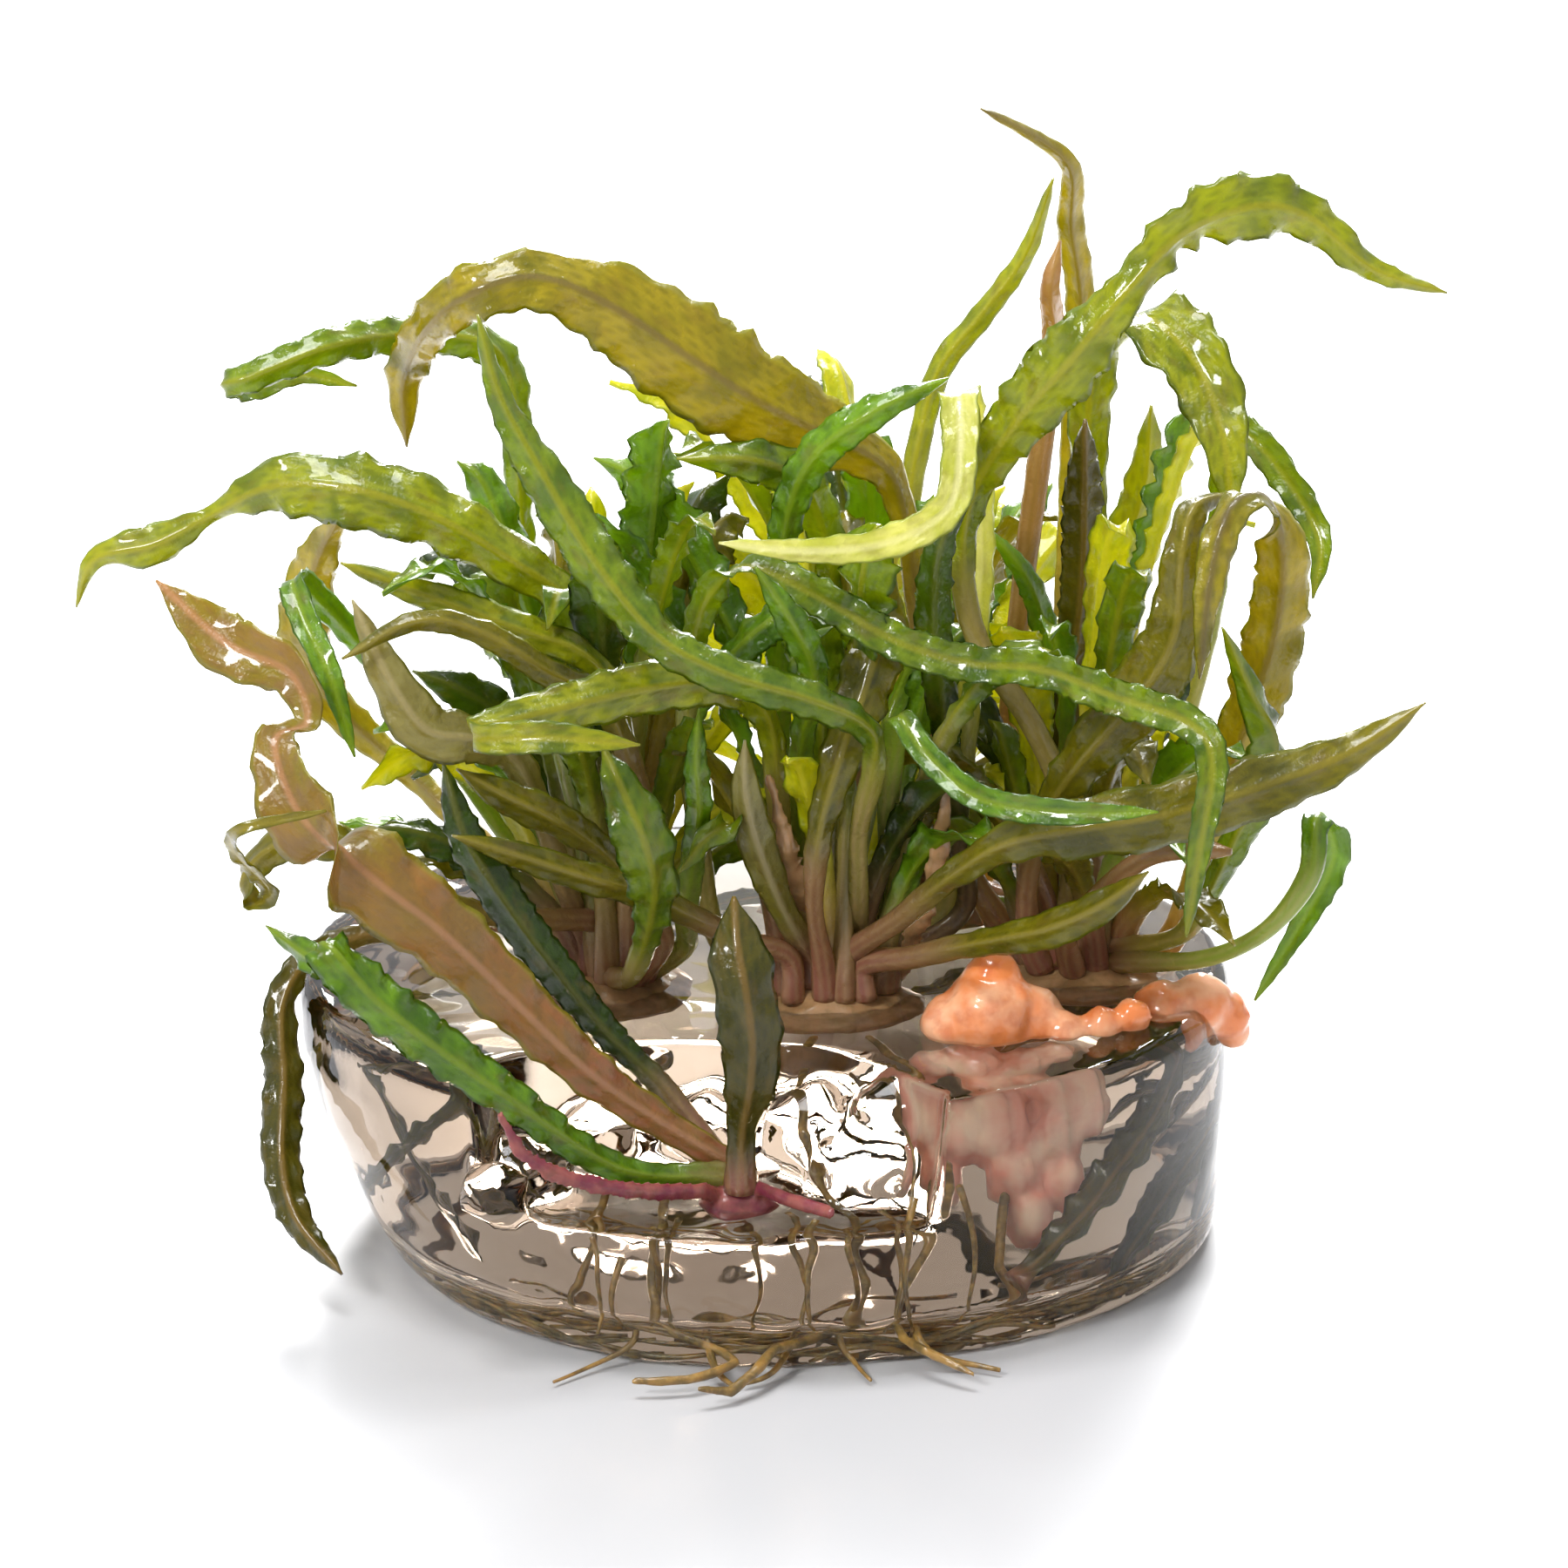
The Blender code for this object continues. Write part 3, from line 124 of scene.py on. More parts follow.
def wet_leaf(name, near, far, patch, rib, edge, stalk, glow, see_through=0.42):
    """Living leaf with a film of water. Thin cells let light through, so a lit blade glows brighter and
    yellower than its face, and the water film gives small hard highlights over the softer leaf."""
    material, tree, output = new_material(name)
    reach = add(tree, "ShaderNodeAttribute", attribute_name="reach").outputs["Fac"]
    tone = add(tree, "ShaderNodeAttribute", attribute_name="tone").outputs["Fac"]
    stalkness = add(tree, "ShaderNodeAttribute", attribute_name="stalk").outputs["Fac"]
    off_rib = add(tree, "ShaderNodeAttribute", attribute_name="off_rib").outputs["Fac"]
    place = add(tree, "ShaderNodeUVMap", uv_map="blade_mm").outputs["UV"]
    split = add(tree, "ShaderNodeSeparateXYZ", {0: place})
    across, along = split.outputs[0], split.outputs[1]

    # Cloudy areas about 6 mm long, stretched along the leaf
    stretched = add(tree, "ShaderNodeVectorMath", {0: place, 1: (0.42, 0.16, 1.0)}, operation="MULTIPLY")
    shifted = add(tree, "ShaderNodeVectorMath", {0: stretched.outputs[0], 1: tone}, operation="ADD")
    cloud = add(tree, "ShaderNodeTexNoise", {"Vector": shifted.outputs[0], "Scale": 1.0, "Detail": 3.0})
    wander = add(tree, "ShaderNodeMath", {0: cloud.outputs["Fac"], 1: 1.3, 2: -0.65}, operation="MULTIPLY_ADD")
    blend = add(tree, "ShaderNodeMath", {0: reach, 1: wander.outputs[0]}, operation="ADD")
    blend = add(tree, "ShaderNodeMath", {0: blend.outputs[0], 1: tone}, operation="ADD", use_clamp=True)
    body = add(tree, "ShaderNodeMix", {0: blend.outputs[0], 6: linear(near), 7: linear(far)},
               data_type="RGBA").outputs[2]
    patches = add(tree, "ShaderNodeTexNoise", {"Vector": place, "Scale": 0.31, "Detail": 2.0, "Distortion": 0.6})
    patchy = add(tree, "ShaderNodeMapRange",
                 {"Value": patches.outputs["Fac"], "From Min": 0.46, "From Max": 0.66, "To Max": 0.85})
    body = add(tree, "ShaderNodeMix", {0: patchy.outputs[0], 6: body, 7: linear(patch)},
               data_type="RGBA").outputs[2]

    # Long veins about 0.55 mm apart, and slanting cross veins about 1.4 mm apart
    long_veins = add(tree, "ShaderNodeTexWave", {"Vector": place, "Scale": 0.55, "Distortion": 1.2, "Detail": 1.0},
                     wave_type="BANDS", bands_direction="X")
    slant = add(tree, "ShaderNodeMath", {0: across}, operation="ABSOLUTE")
    slant = add(tree, "ShaderNodeMath", {0: slant.outputs[0], 1: -1.1, 2: along}, operation="MULTIPLY_ADD")
    slanted = add(tree, "ShaderNodeCombineXYZ", {0: slant.outputs[0]})
    cross_veins = add(tree, "ShaderNodeTexWave",
                      {"Vector": slanted.outputs[0], "Scale": 0.22, "Distortion": 2.0, "Detail": 2.0},
                      wave_type="BANDS", bands_direction="X")
    veins = add(tree, "ShaderNodeMath", {0: long_veins.outputs["Fac"], 1: cross_veins.outputs["Fac"]},
                operation="MULTIPLY")
    vein_share = add(tree, "ShaderNodeMath", {0: veins.outputs[0], 1: 0.55}, operation="MULTIPLY")
    body = add(tree, "ShaderNodeMix", {0: vein_share.outputs[0], 6: body, 7: linear(patch)},
               data_type="RGBA").outputs[2]

    # Bronze streaks where the blade has aged, about 1 mm wide and 6 mm long
    aged = add(tree, "ShaderNodeTexNoise", {"Vector": shifted.outputs[0], "Scale": 2.3, "Detail": 3.0})
    bronze = add(tree, "ShaderNodeMapRange", {"Value": aged.outputs["Fac"], "From Min": 0.54, "From Max": 0.7,
                                              "To Max": 0.5})
    body = add(tree, "ShaderNodeMix", {0: bronze.outputs[0], 6: body, 7: linear("6E5A22")},
               data_type="RGBA").outputs[2]

    # The middle rib is about 0.5 mm wide, and the margin a narrow line of its own colour
    from_rib = add(tree, "ShaderNodeMath", {0: across}, operation="ABSOLUTE")
    ribness = add(tree, "ShaderNodeMapRange", {"Value": from_rib.outputs[0], "From Min": 0.1, "From Max": 0.34,
                                               "To Min": 0.75, "To Max": 0.0})
    body = add(tree, "ShaderNodeMix", {0: ribness.outputs[0], 6: body, 7: linear(rib)},
               data_type="RGBA").outputs[2]
    edgeness = add(tree, "ShaderNodeMapRange", {"Value": off_rib, "From Min": 0.8, "From Max": 0.95,
                                                "To Max": 0.75})
    body = add(tree, "ShaderNodeMix", {0: edgeness.outputs[0], 6: body, 7: linear(edge)},
               data_type="RGBA").outputs[2]
    foot = add(tree, "ShaderNodeAttribute", attribute_name="foot").outputs["Fac"]
    foot_share = add(tree, "ShaderNodeMath", {0: foot, 1: 0.8}, operation="MULTIPLY").outputs[0]
    stem = add(tree, "ShaderNodeMix", {0: foot_share, 6: linear(stalk), 7: linear("A86258")}, data_type="RGBA")
    streaks = add(tree, "ShaderNodeMath", {0: long_veins.outputs["Fac"], 1: 0.35}, operation="MULTIPLY")
    stem = add(tree, "ShaderNodeMix", {0: streaks.outputs[0], 6: stem.outputs[2], 7: linear("C8A878")},
               data_type="RGBA").outputs[2]
    body = add(tree, "ShaderNodeMix", {0: stalkness, 6: body, 7: stem}, data_type="RGBA").outputs[2]

    # Cells about 0.25 mm across, under the water film
    cells = add(tree, "ShaderNodeTexNoise", {"Vector": place, "Scale": 3.2, "Detail": 2.0})
    cockles = add(tree, "ShaderNodeTexNoise", {"Vector": stretched.outputs[0], "Scale": 1.6, "Detail": 1.0})
    height = add(tree, "ShaderNodeMath", {0: veins.outputs[0], 1: 0.5, 2: cells.outputs["Fac"]},
                 operation="MULTIPLY_ADD")
    height = add(tree, "ShaderNodeMath", {0: cockles.outputs["Fac"], 1: 5.0, 2: height.outputs[0]},
                 operation="MULTIPLY_ADD")
    bump = add(tree, "ShaderNodeBump", {"Strength": 0.5, "Distance": 0.00014, "Height": height.outputs[0]})
    film = add(tree, "ShaderNodeMapRange", {"Value": cloud.outputs["Fac"], "From Min": 0.35, "From Max": 0.7,
                                            "To Min": 0.2, "To Max": 0.42})
    face = add(tree, "ShaderNodeBsdfPrincipled",
               {"Base Color": body, "Roughness": film.outputs[0], "IOR": 1.42, "Coat Weight": 1.0,
                "Coat Roughness": 0.05, "Coat IOR": 1.4, "Normal": bump.outputs[0]})
    lit = add(tree, "ShaderNodeMix", {0: 0.72, 6: body, 7: linear(glow)}, data_type="RGBA")
    through = add(tree, "ShaderNodeBsdfTranslucent", {"Color": lit.outputs[2], "Normal": bump.outputs[0]})
    both = add(tree, "ShaderNodeMixShader", {0: see_through, 1: face.outputs[0], 2: through.outputs[0]})
    tree.links.new(both.outputs[0], output.inputs["Surface"])
    return material


def moist_tissue(name, main, second, third, grain_mm, roughness=0.32, spotted=0.35):
    """Fleshy plant tissue, as of a crown, callus or root: cloudy colour, a little light goes into it, and
    a damp skin gives it a broad sheen."""
    material, tree, output = new_material(name)
    place = add(tree, "ShaderNodeTexCoord").outputs["Object"]
    per_metre = 1 / (grain_mm * MM)
    cloud = add(tree, "ShaderNodeTexNoise", {"Vector": place, "Scale": per_metre, "Detail": 3.0})
    fine = add(tree, "ShaderNodeTexNoise", {"Vector": place, "Scale": per_metre * 2.6, "Detail": 3.0})
    first = add(tree, "ShaderNodeMapRange", {"Value": cloud.outputs["Fac"], "From Min": 0.38, "From Max": 0.6})
    colour = add(tree, "ShaderNodeMix", {0: first.outputs[0], 6: linear(main), 7: linear(second)},
                 data_type="RGBA").outputs[2]
    spots = add(tree, "ShaderNodeMapRange", {"Value": fine.outputs["Fac"], "From Min": 0.5, "From Max": 0.68,
                                             "To Max": spotted})
    colour = add(tree, "ShaderNodeMix", {0: spots.outputs[0], 6: colour, 7: linear(third)},
                 data_type="RGBA").outputs[2]
    bump = add(tree, "ShaderNodeBump", {"Strength": 0.4, "Distance": 0.00015, "Height": fine.outputs["Fac"]})
    skin = add(tree, "ShaderNodeBsdfPrincipled",
               {"Base Color": colour, "Roughness": roughness, "IOR": 1.4, "Subsurface Weight": 0.25,
                "Subsurface Radius": (0.0012, 0.0006, 0.0004), "Subsurface Scale": 1.0, "Coat Weight": 0.4,
                "Coat Roughness": 0.12, "Normal": bump.outputs[0]})
    tree.links.new(skin.outputs[0], output.inputs["Surface"])
    return material


def clear_gel():
    """Clear agar gel, cast in a cup and wet. It is nearly all water, so it bends light as water does,
    and its faint grey-green shows only through its full depth."""
    material, tree, output = new_material("clear agar gel, wet")
    place = add(tree, "ShaderNodeTexCoord").outputs["Object"]
    waves = add(tree, "ShaderNodeTexNoise", {"Vector": place, "Scale": 120.0, "Detail": 2.0})
    bump = add(tree, "ShaderNodeBump", {"Strength": 0.25, "Distance": 0.0004, "Height": waves.outputs["Fac"]})
    clear = add(tree, "ShaderNodeBsdfPrincipled",
                {"Base Color": linear("F4F6F2"), "Roughness": 0.03, "IOR": 1.335, "Transmission Weight": 1.0,
                 "Normal": bump.outputs[0]})
    depth = add(tree, "ShaderNodeVolumeAbsorption", {"Color": linear("D6C6B6"), "Density": 50.0})
    tree.links.new(clear.outputs[0], output.inputs["Surface"])
    tree.links.new(depth.outputs[0], output.inputs["Volume"])
    return material


# Blade finishes: near the stalk, towards the tip, in patches, the rib, the edge, the stalk, and lit through
FINISHES = {
    "gold": ("8E8210", "9A901E", "565C0C", "5E5440", "6E780C", "9A744E", "D4C024"),
    "yellow green": ("7C8C08", "9A9E0E", "465E08", "A09A20", "44600A", "A88C58", "CCCA1C"),
    "vivid green": ("587E0C", "6A900E", "2E5208", "84981A", "2A520A", "929848", "B4CE24"),
    "fresh green": ("667E0A", "7A8E0C", "385A08", "96941E", "32560A", "9A8A4C", "C0CA1C"),
    "olive": ("66600C", "78720C", "44480C", "94862E", "626C10", "986E50", "C4B822"),
    "dark olive": ("46400C", "544F0C", "2E340A", "886A32", "2A360A", "825A46", "A89E26"),
    "dark green": ("2C400C", "364E0C", "1E2C0A", "626220", "1E320A", "82644C", "9CB028"),
    "pale": ("9AA61E", "D6D47C", "B4BA38", "E4E0A4", "6E861A", "A89C60", "F0EC84"),
    # This finish paints the glare of the wet film into the blade: its pale greyish colours are a painted highlight
    "grey glare": ("7A7420", "948C56", "766E38", "B0A276", "5C6212", "927852", "CCC04C"),
    "pink olive": ("A85C4A", "82791A", "80683A", "B88862", "868A1C", "A83E4C", "DCB458"),
    "dead tan": ("8A6E38", "A07040", "7A5A2E", "B09058", "7A5230", "8A7040", "E0BC78"),
    # This finish paints the glow of leaves lit from behind into their colour: its bright yellows are painted light
    "painted glow yellow": ("A8AA08", "C8C40E", "8A9A0A", "D0C82A", "6E8A0A", "B09850", "FCF828"),
}

# Each leaf: its finish, how far its edge waves in mm, the length of a wave in mm, how deep it is
# keeled in degrees, and its own shift of tone
LEAVES = {
    "leaf_gold_arch": ("gold", 0.5, 4.6, 12, -0.1),
    "leaf_green_upper_left": ("fresh green", 0.55, 2.6, 22, 0.0),
    "leaf_left_reach": ("yellow green", 0.6, 4.0, 16, -0.1),
    "leaf_front_pink": ("pink olive", 0.45, 4.4, 10, 0.15),
    "leaf_front_lobed": ("vivid green", 0.8, 2.8, 20, 0.1),
    "leaf_front_upright": ("dark olive", 0.4, 4.2, 14, 0.1),
    "leaf_dark_crisped": ("dark green", 0.7, 1.7, 24, 0.0),
    "leaf_curl_left": ("olive", 0.5, 3.2, 16, 0.1),
    "leaf_olive_low_left": ("olive", 0.3, 3.4, 20, -0.1),
    "leaf_upright_left": ("fresh green", 0.55, 2.8, 16, -0.2),
    "leaf_pale_fold": ("yellow green", 0.5, 3.2, 14, 0.25),
    "leaf_long_diagonal": ("fresh green", 0.6, 2.9, 24, -0.1),
    "leaf_horizontal_right": ("olive", 0.4, 4.4, 12, 0.05),
    "leaf_ruffled_drop": ("fresh green", 0.75, 2.6, 14, 0.1),
    "leaf_upper_right": ("yellow green", 0.65, 3.2, 14, -0.15),
    "leaf_broad_right": ("yellow green", 0.5, 4.6, 14, -0.05),
    "leaf_outer_right": ("fresh green", 0.5, 2.8, 20, -0.1),
    "leaf_arch_right": ("gold", 0.5, 3.4, 14, 0.0),
    "leaf_olive_right": ("olive", 0.45, 3.6, 18, 0.0),
    "leaf_keeled_right": ("fresh green", 0.4, 3.4, 34, -0.15),
    "leaf_hanging_right": ("vivid green", 0.45, 2.6, 16, 0.1),
    "leaf_low_right": ("olive", 0.35, 3.4, 18, 0.0),
    "stem_cut_right": ("olive", 0.0, 3.0, 0, -0.3),
    "leaf_green_glossy": ("vivid green", 0.35, 2.4, 20, 0.0),
    "leaf_dark_toothed": ("dark olive", 0.8, 1.9, 22, -0.1),
    "leaf_yellow_back_right": ("yellow green", 0.45, 3.6, 12, 0.3),
    "leaf_spike_top": ("gold", 0.3, 3.4, 22, 0.1),
    "leaf_diagonal_back": ("yellow green", 0.3, 3.4, 18, 0.0),
    "leaf_dead_tip": ("dead tan", 0.3, 2.6, 20, 0.1),
    "leaf_upper_middle": ("vivid green", 0.65, 2.4, 14, 0.1),
    "leaf_cross_middle": ("fresh green", 0.65, 2.6, 14, 0.1),
    "leaf_pale_top": ("pale", 0.45, 3.2, 12, 0.15),
    "leaf_yellow_left": ("yellow green", 0.45, 3.0, 14, 0.35),
    "leaf_arc_left": ("olive", 0.4, 2.8, 16, -0.1),
    "leaf_grey_left": ("grey glare", 0.4, 3.8, 12, 0.1),
    "leaf_green_tip_left": ("vivid green", 0.4, 2.4, 18, 0.0),
    "leaf_gold_back_left": ("gold", 0.45, 3.8, 12, 0.0),
    "leaf_dark_left": ("dark green", 0.5, 2.8, 18, 0.0),
    "leaf_olive_band": ("olive", 0.45, 3.0, 16, -0.2),
    "leaf_tan_upright": ("grey glare", 0.3, 3.6, 16, -0.2),
    "leaf_olive_middle": ("olive", 0.5, 3.2, 16, -0.05),
    "leaf_green_middle": ("vivid green", 0.6, 2.2, 16, 0.0),
    "leaf_green_bumpy": ("vivid green", 0.5, 2.0, 20, -0.1),
    "leaf_green_inner_right": ("dark green", 0.55, 2.6, 18, 0.2),
    "leaf_curve_right": ("vivid green", 0.5, 2.6, 18, -0.1),
    "leaf_wilted_left": ("dark olive", 0.7, 2.6, 20, -0.1),
}


def place_camera():
    forward = Vector((0.0, math.cos(EYE_TILT), -math.sin(EYE_TILT)))
    camera = bpy.data.objects.new("camera", bpy.data.cameras.new("camera"))
    bpy.context.scene.collection.objects.link(camera)
    camera.location = AIM - forward * EYE_DISTANCE
    camera.rotation_euler = forward.to_track_quat("-Z", "Y").to_euler()
    camera.data.sensor_width = SENSOR
    camera.data.lens = SENSOR * EYE_DISTANCE / FRAME_WIDTH
    camera.data.clip_start = 0.01
    bpy.context.scene.camera = camera


def welded(node):
    """The solid's corners in mm, each once, and its triangles."""
    mesh = node.data
    mesh.calc_loop_triangles()
    points = np.array([vertex.co for vertex in mesh.vertices]) / MM
    _, first, index = np.unique(np.round(points, 3), axis=0, return_index=True, return_inverse=True)
    index = index.reshape(-1)
    triangles = [tuple(int(index[v]) for v in triangle.vertices) for triangle in mesh.loop_triangles]
    return points[first], triangles


def cross_sections(node):
    """The rows of four corners that a leaf's solid is made of, from its foot to its tip."""
    points, triangles = welded(node)
    beside = [set() for _ in points]
    by_edge = {}
    for triangle in triangles:
        for a, b in itertools.permutations(triangle, 2):
            beside[a].add(b)
            by_edge.setdefault(frozenset((a, b)), set()).add(triangle)
    found = []
    for pair in by_edge.values():
        end = sorted(set().union(*pair))
        rows = walk_rows(end, beside) if len(end) == 4 else None
        if rows and len(rows) * 4 == len(points) and flatness(points[end]) < 0.02:
            found.append(rows)
    if not found:
        raise RuntimeError(f"{node.name} has no row of cross-sections")
    widest = [spread(points[rows[0]]) for rows in found]
    if max(widest) - min(widest) < 0.15:
        widest = [-points[rows[0]][:, 2].mean() for rows in found]
    rows = found[int(np.argmax(widest))]
    return ordered(points, rows, beside)


def walk_rows(end, beside):
    """Rows of corners from one end on, or None if a row doesn't have four."""
    rows, seen = [list(end)], set(end)
    while True:
        following = set().union(*(beside[v] for v in rows[-1])) - seen
        if not following:
            return rows
        if len(following) != 4:
            return None
        seen |= following
        rows.append(sorted(following))


def flatness(corners):
    """How far four corners are from one plane, in mm."""
    a, b, c, d = corners
    across = np.cross(b - a, c - a)
    return abs((d - a) @ across) / max(np.linalg.norm(across), 1e-9)


def spread(corners):
    return max(np.linalg.norm(a - b) for a, b in itertools.combinations(corners, 2))


def ordered(points, rows, beside):
    """Puts each row's corners in the same order: one edge, a face, the other edge, the other face.

    Each corner is joined to the one after it in its own row, and to two of the next row."""
    first = rows[0]
    a, c = max(itertools.combinations(first, 2), key=lambda pair: np.linalg.norm(points[pair[0]] - points[pair[1]]))
    b, d = (v for v in first if v not in (a, c))
    tries = []
    for start in ([a, b, c, d], [a, d, c, b]):
        lined = [start]
        for row in rows[1:]:
            lined.append(next_row(points, lined[-1], row, beside))
        lined = points[np.array(lined)]
        tries.append((np.linalg.norm(np.diff(lined, axis=0), axis=2).sum(), lined))
    return min(tries, key=lambda found: found[0])[1]


def next_row(points, last, row, beside):
    """The next row's corners, each after the one that it continues."""
    common = [set(row) & beside[last[k]] & beside[last[k - 1]] for k in range(4)]
    if all(len(shared) == 1 for shared in common) and len(set().union(*common)) == 4:
        return [shared.pop() for shared in common]
    shape = points[last] - points[last].mean(axis=0)
    middle = points[row].mean(axis=0)
    orders = itertools.permutations(row)
    return list(min(orders, key=lambda order: ((points[list(order)] - middle - shape) ** 2).sum()))


def smooth_rows(rows, steps):
    """Rows of numbers along a Catmull-Rom curve through the given ones."""
    ends = np.vstack([2 * rows[0] - rows[1], rows, 2 * rows[-1] - rows[-2]])
    t = (np.arange(steps) / steps)[:, None]
    spans = [0.5 * (2 * b + (c - a) * t + (2 * a - 5 * b + 4 * c - d) * t ** 2 + (3 * b - a - 3 * c + d) * t ** 3)
             for a, b, c, d in zip(ends, ends[1:], ends[2:], ends[3:])]
    return np.vstack([*spans, rows[-1:]])


def unit(rows):
    return rows / np.maximum(np.linalg.norm(rows, axis=-1, keepdims=True), 1e-9)


def ripple(values, seed):
    """Smooth uneven numbers between -1 and 1 along the values."""
    return np.array([noise.noise(Vector((float(value), seed * 7.31, seed * 1.7))) for value in values])


def even_course(middles, sides, widths, seed):
    """A leaf's course at even steps: middles, sides, faces, half widths and lengths from the foot, in mm."""
    fine = smooth_rows(np.hstack([middles, sides, widths[:, None]]), 16)
    lengths = np.concatenate([[0], np.cumsum(np.linalg.norm(np.diff(fine[:, :3], axis=0), axis=1))])
    wanted = np.linspace(0, lengths[-1], max(12, int(lengths[-1] / STEP_ALONG)))
    even = np.array([np.interp(wanted, lengths, column) for column in fine.T]).T
    middles, half = even[:, :3], np.maximum(even[:, 6], 0.1) / 2
    along = unit(np.gradient(middles, axis=0))
    sides = even[:, 3:6]
    sides = unit(sides - along * (sides * along).sum(axis=1, keepdims=True))
    faces = np.cross(along, sides)
    turn = 0.25 * ripple(wanted / 9.0, seed)[:, None]
    sides, faces = sides * np.cos(turn) + faces * np.sin(turn), faces * np.cos(turn) - sides * np.sin(turn)
    return middles, sides, faces, half, wanted


def course_of_solid(node, seed):
    corners = cross_sections(node)
    lefts, rights = corners[:, 0], corners[:, 2]
    middles = (lefts + rights) / 2
    middles[0] -= unit(middles[1] - middles[0]) * FOOT_DEPTH
    return even_course(middles, unit(rights - lefts), np.linalg.norm(rights - lefts, axis=1), seed)


def course_of_route(route, seed):
    """The course of a leaf given as (x, y, z, wide), which arches away from its foot face up."""
    route = np.array(route, float)
    out = route[-1, :2] - route[0, :2]
    side = unit(np.array([-out[1], out[0], 0.0]))
    return even_course(route[:, :3], np.tile(side, (len(route), 1)), route[:, 3], seed)


def edge_of_blade(lengths, half, blade, wave, wave_length, seed):
    """How far a margin waves up and down, and how far it reaches out as a share of the half width."""
    swing = 2 * math.pi * lengths / wave_length + 2.4 * ripple(lengths / 5.0, seed)
    second = np.sin(2 * math.pi * lengths / wave_length * 1.9 + 3.1 * ripple(lengths / 3.0, seed + 5))
    size = 0.65 + 0.5 * ripple(lengths / 6.0, seed + 9)
    rise = wave * (np.sin(swing) + 0.35 * second) * size * np.clip(half / 1.5, 0, 1.1) * blade
    tooth = 1 - 2 * np.abs(np.sin(swing / 2 + 0.7)) ** 0.7
    reach = 1 + (0.11 * tooth * size + 0.05 * second) * blade * min(1, wave * 2)
    return rise, reach


def blade_of(course, wave, wave_length, keel, tone, seed):
    """A leaf's skin: a round stalk that opens into a thin, crisped and keeled blade."""
    middles, sides, faces, half, lengths = course
    half = half * np.clip((lengths[-1] - lengths) / 1.6, 0.12, 1) ** 0.5
    blade = np.clip((2 * half - STALK_END + 0.35) / 0.9, 0, 1)
    blade = np.maximum.accumulate(blade * blade * (3 - 2 * blade))
    half = half * (1 + (STALK_SWELL + FOOT_SWELL * np.exp(-(lengths / 4.5) ** 2)) * (1 - blade))
    u = np.linspace(-1, 1, COLUMNS + 1)
    left_rise, left_reach = edge_of_blade(lengths, half, blade, wave, wave_length, seed)
    right_rise, right_reach = edge_of_blade(lengths, half, blade, wave, wave_length, seed + 40)
    from_rib = np.abs(u)
    rise = np.where(u < 0, left_rise[:, None], right_rise[:, None]) * from_rib ** 1.7
    wider = 1 + (np.where(u < 0, left_reach[:, None], right_reach[:, None]) - 1) * from_rib ** 2
    slope = math.radians(keel) * blade[:, None]
    across = half[:, None] * u * wider * np.cos(slope)
    lift = rise + half[:, None] * (from_rib - 0.5) * np.sin(slope)
    round_part = np.sqrt(1 - u ** 2) * (half * 0.78 * (1 - blade))[:, None]
    thick = BLADE_THICKNESS / 2 * blade[:, None] * (1 - 0.7 * from_rib ** 3)
    rib = 0.2 * np.exp(-(half[:, None] * u / 0.3) ** 2) * blade[:, None]
    top = lift + round_part + thick
    low = lift - round_part - thick - rib

    columns = np.concatenate([np.arange(COLUMNS + 1), np.arange(COLUMNS - 1, 0, -1)])
    heights = np.concatenate([top, low[:, COLUMNS - 1:0:-1]], axis=1)
    grid = (middles[:, None] + sides[:, None] * across[:, columns, None] + faces[:, None] * heights[..., None])
    count, ring = heights.shape
    quads = [(row * ring + k, row * ring + (k + 1) % ring, (row + 1) * ring + (k + 1) % ring, (row + 1) * ring + k)
             for row in range(count - 1) for k in range(ring)]
    ends = [tuple(range(ring))[::-1], tuple(range((count - 1) * ring, count * ring))]
    return {"points": grid.reshape(-1, 3), "faces": quads + ends,
            "reach": np.repeat(lengths / lengths[-1], ring), "tone": np.full(count * ring, tone),
            "stalk": np.repeat(1 - blade, ring), "foot": np.repeat(np.exp(-(lengths / 5.0) ** 2), ring),
            "off_rib": np.tile(from_rib[columns], count),
            "flat": np.stack([across[:, columns].reshape(-1), np.repeat(lengths, ring)], axis=1)}


def leaf_piece(name, blades, material):
    """One piece from one or more blades, with what their material reads stored in the mesh."""
    starts = np.cumsum([0] + [len(blade["points"]) for blade in blades])
    faces = [tuple(int(v + start) for v in face) for blade, start in zip(blades, starts) for face in blade["faces"]]
    piece = mesh_piece(name, np.vstack([blade["points"] for blade in blades]), faces, material)
    mesh = piece.data
    for key in ("reach", "tone", "stalk", "foot", "off_rib"):
        numbers = np.concatenate([blade[key] for blade in blades]).astype(np.float32)
        mesh.attributes.new(key, "FLOAT", "POINT").data.foreach_set("value", numbers)
    flat = np.vstack([blade["flat"] for blade in blades])
    loops = np.empty(len(mesh.loops), np.int32)
    mesh.loops.foreach_get("vertex_index", loops)
    mesh.uv_layers.new(name="blade_mm").data.foreach_set("uv", flat[loops].astype(np.float32).reshape(-1))
    return piece


